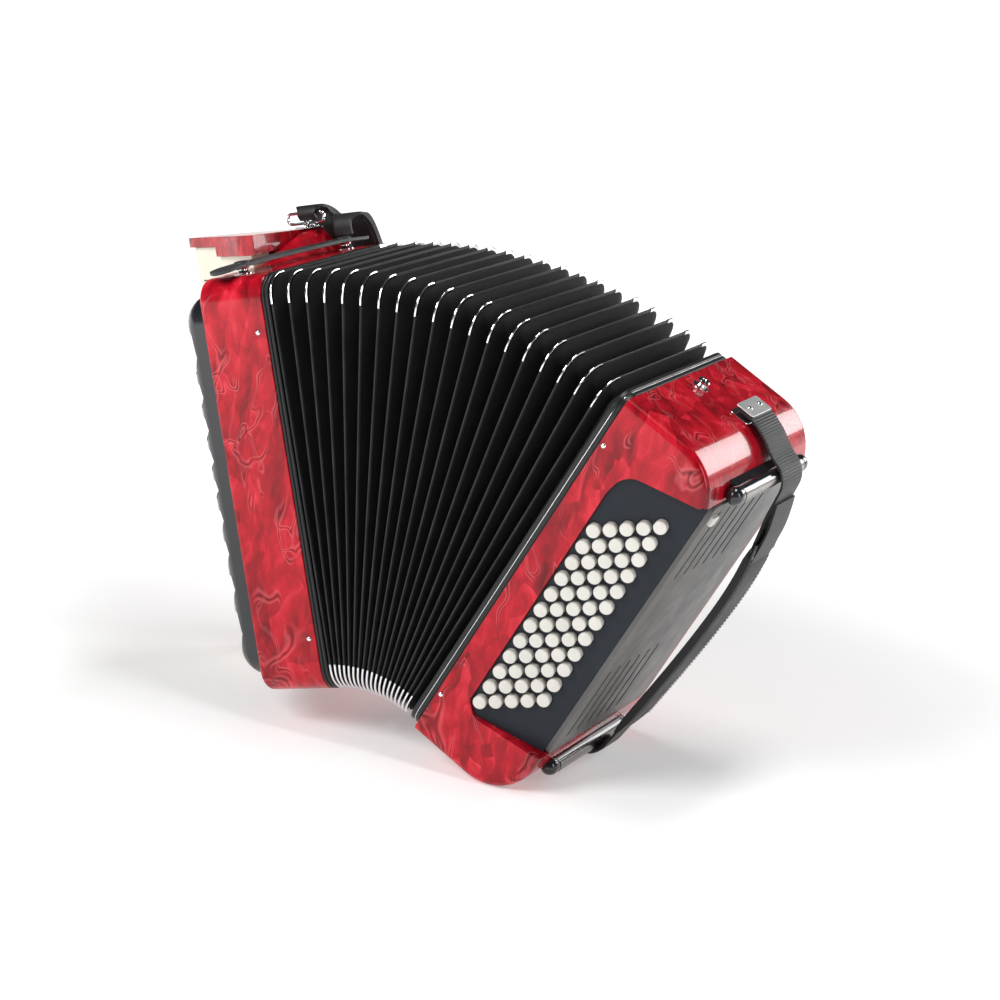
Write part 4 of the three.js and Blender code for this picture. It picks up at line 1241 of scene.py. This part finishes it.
def bass_cover():
    """The satin outer cover with its sound slots, painted shade on their walls and on a near-black sheet
    behind them, and the air button
    """
    inside = BASS_OUTER - COVER_THICKNESS
    outline = rounded_rectangle(COVER_FRONT, COVER_BOTTOM, COVER_BACK, COVER_TOP, 5, 6)
    obj = new_object("bass_cover_plate", slab(outline, inside, BASS_OUTER, "X"), BASS)
    openings = []
    half, long_half = 1.35, 33
    for slot in range(SLOTS_PER_GROUP):
        y = COVER_FRONT + 20 + slot * SLOT_PITCH
        for z in (COVER_BOTTOM + 12 + long_half, COVER_TOP - 8 - long_half):
            openings.append(arc((y, z + long_half - half), half, 0, 180, 5)
                            + arc((y, z - long_half + half), half, 180, 360, 5))
    y, z, reach = COVER_FRONT + 7.5, COVER_TOP - 12, 4.5
    openings.append(rounded_rectangle(y - reach, z - reach, y + reach, z + reach, 1))
    cutters = [slab(opening, inside - 2, BASS_OUTER + 2, "X") for opening in openings]
    carve(obj, together(*cutters), place=BASS)
    round_edges(obj, 0.35, 2, 40)
    dress(obj, COVER, "bass", ["bass_cover"])
    # The slot walls take the second, near-black material: painted shade inside the slots
    obj.data.materials.append(SHADE)
    to_bass = BASS.inverted()
    margin = 4
    for face in obj.data.polygons:
        middle = to_bass @ face.center
        within = COVER_FRONT + margin < middle.y < COVER_BACK - margin
        within = within and COVER_BOTTOM + margin < middle.z < COVER_TOP - margin
        if within and abs(face.normal.dot(INWARDS)) < 0.3:
            face.material_index = 1
    # A near-black sheet behind the slots, painted shade seen through them
    behind = rounded_rectangle(COVER_FRONT + 14, COVER_BOTTOM + 6, COVER_BACK - 6, COVER_TOP - 5, 4, 4)
    piece("cover_shade_sheet", slab(behind, inside - 1.0, inside - 0.4, "X"), BASS, SHADE, "bass")

    def button_outline(inset):
        reach = 4.2 - inset
        return rounded_rectangle(y - reach, z - reach, y + reach, z + reach, 1.2, 5)

    cap = slab(button_outline, inside - 1, BASS_OUTER + 3.5, "X", 0.9, 3)
    piece("air_button_cap", cap, BASS, BUTTON, "air_button", ["air_button"])


def foot_bar(name, height, node):
    """A foot bar: a black bar with bulbous round ends, a saddle, and a metal strip along it"""
    centre = BASS_OUTER + 2
    radius = FOOT_RADIUS
    neck = radius - 0.7
    end = FOOT_START + FOOT_LENGTH
    profile = [(0.01, FOOT_START)]
    profile += [(radius * sin(a), FOOT_START + radius * (1 - cos(a))) for a in quarter(6)[1:]]
    profile += [(radius, FOOT_START + 11), (neck, FOOT_START + 12), (neck, end - 12)]
    profile += [(radius, end - 11)]
    profile += [(radius * cos(a), end - radius * (1 - sin(a))) for a in quarter(6)]
    bar = moved(lathe(profile, 28, "Y"), Matrix.Translation((centre, 0, height)))
    obj = new_object(name, bar, BASS)
    keep_out = slab(bass_outline(-0.3, 0), -1, CASE_DEPTH + 1, "Y")
    carve(obj, keep_out, place=BASS)
    dress(obj, GLOSS_BLACK, "bass", [node])
    saddle_outline = rounded_box(BASS_OUTER - 12, height - 5, centre + 1, height + 5, 1, 3)
    saddle = new_object(name + "_saddle", slab(saddle_outline, FOOT_START + 12, end - 12, "Y"), BASS)
    carve(saddle, keep_out, place=BASS)
    dress(saddle, GLOSS_BLACK, "bass")
    reach = 62
    outer = arc((centre, height), radius + 0.15, -reach, reach, 12)
    inner = arc((centre, height), radius - 0.9, reach, -reach, 12)
    strip = slab(outer + inner, FOOT_START + 12.4, end - 12.4, "Y")
    piece(name + "_strip", strip, BASS, GUNMETAL, "bass", smooth=50)


def hand_strap():
    """The hand strap: webbing from the top bracket, its slider, the pad, and the tab at the bottom"""
    points = [(57, 330.4), (72, 330.3), (86, 325.5), (99, 317.8), (110.5, 313.2), (118, 304.5), (120, 292),
              (121.5, 277), (125, 258), (129.5, 230), (131, 196), (129, 146), (124, 86), (119.5, 46),
              (117.5, 34), (111.5, 25.5), (103, 21)]
    line = smooth_line([(x, STRAP_MIDDLE, z) for x, z in points], 6)
    slider, pad_end = 50, 77
    strap("hand_strap_webbing", line[:slider + 3], STRAP_WIDTH - 3, 2.2, BASS, WEBBING, "bass",
          ["bass_strap"])

    def lifted(first, last, lift):
        found = []
        for k in range(first, last + 1):
            along = (line[k + 1] - line[k - 1]).normalized()
            rise = sin(pi * min(1, (k - first) / (last - first) * 1.1))
            found.append(line[k] - Vector((0, 1, 0)).cross(along) * (2.0 + lift * rise))
        return found

    strap("hand_strap_fold", lifted(slider - 13, slider + 5, 3.2), STRAP_WIDTH - 5, 2.0, BASS,
          WEBBING, "bass")

    def swell(share):
        soft = min(1, share / 0.08) * min(1, (1 - share) / 0.08)
        return 0.96 + 0.06 * soft, 0.45 + 0.55 * soft

    pad = strap("hand_strap_pad", line[slider:pad_end], STRAP_WIDTH, 7.6, BASS, PAD,
                "bass", (), swell)
    for offset, where in ((-17.5, "front"), (17.5, "back")):
        stitches(f"hand_strap_stitches_{where}", line[slider + 2:pad_end - 2], offset, -3.9, BASS, "bass")
    strap("hand_strap_tab", line[pad_end - 3:], STRAP_WIDTH - 10, 2.2, BASS, WEBBING, "bass")
    centre = Vector(line[slider])
    along = (Vector(line[slider + 1]) - Vector(line[slider - 1])).normalized()
    outwards = Vector((0, 1, 0)).cross(along)
    shapes = []
    for shift in (-5, 0, 5):
        a = centre + along * shift + Vector((0, STRAP_WIDTH / 2 + 1, 0)) - outwards * (2.6 if shift else 1.2)
        b = a - Vector((0, STRAP_WIDTH + 2, 0))
        shapes.append(sweep([a, a.lerp(b, 0.5), b], circle(1.3, 10), up=tuple(along)))
    for y in (-1, 1):
        a = centre + Vector((0, y * (STRAP_WIDTH / 2 + 1), 0)) - outwards * 2.6
        shapes.append(sweep([a - along * 6.2, a, a + along * 6.2], circle(1.4, 10)))
    piece("hand_strap_slider", together(*shapes), BASS, GLOSS_BLACK, "bass")


def bass_fittings():
    """The strap bracket with its rivets, the press stud for the bellows strap, and the screws"""
    top = CASE_HEIGHT
    plate = slab(rounded_box(54, 98, 71, 138, 2.5), top + 0.2, top + 1.7)
    piece("strap_plate", plate, BASS, CHROME, "bass", ["bass_strap_bracket"], edges=(0.5, 2))
    clamp = slab(rounded_box(55, 100, 71, 136, 2), top + 7.0, top + 8.2)
    piece("strap_clamp", clamp, BASS, PLATED, "bass", edges=(0.5, 2))
    heads = [screw(Matrix.Translation((63, y, top + 8.1)), 2.4) for y in (109, 127)]
    heads += [screw(Matrix.Translation((14.4, 0.1, z)) @ FACING_FRONT, 2.0) for z in (40, 285)]
    piece("bass_rivets", together(*heads), BASS, CHROME, "bass")
    stud = snap(Matrix.Translation((24.5, 102, top - 0.1)), 6.5, 6.4)
    piece("bass_stud", stud, BASS, CHROME, "bass")


set_camera()
set_room()
bellows()
bellows_frame("treble_rim", TREBLE_FRAME_LEFT, TREBLE_FRAME_RIGHT, TREBLE, "treble", False)
bellows_frame("bass_rim", BASS_FRAME_LEFT, BASS_CASE_LEFT - 0.3, BASS, "bass", True)
treble_shell()
treble_hump()
grille()
keyboard()
treble_top()
shoulder_straps()
bass_shell()
button_board()
bass_cover()
foot_bar("foot_bar_top", TOP_FOOT_HEIGHT, "bass_foot_top")
foot_bar("foot_bar_bottom", BOTTOM_FOOT_HEIGHT, "bass_foot_bottom")
hand_strap()
bass_fittings()
bpy.context.scene.view_settings.view_transform = "Standard"
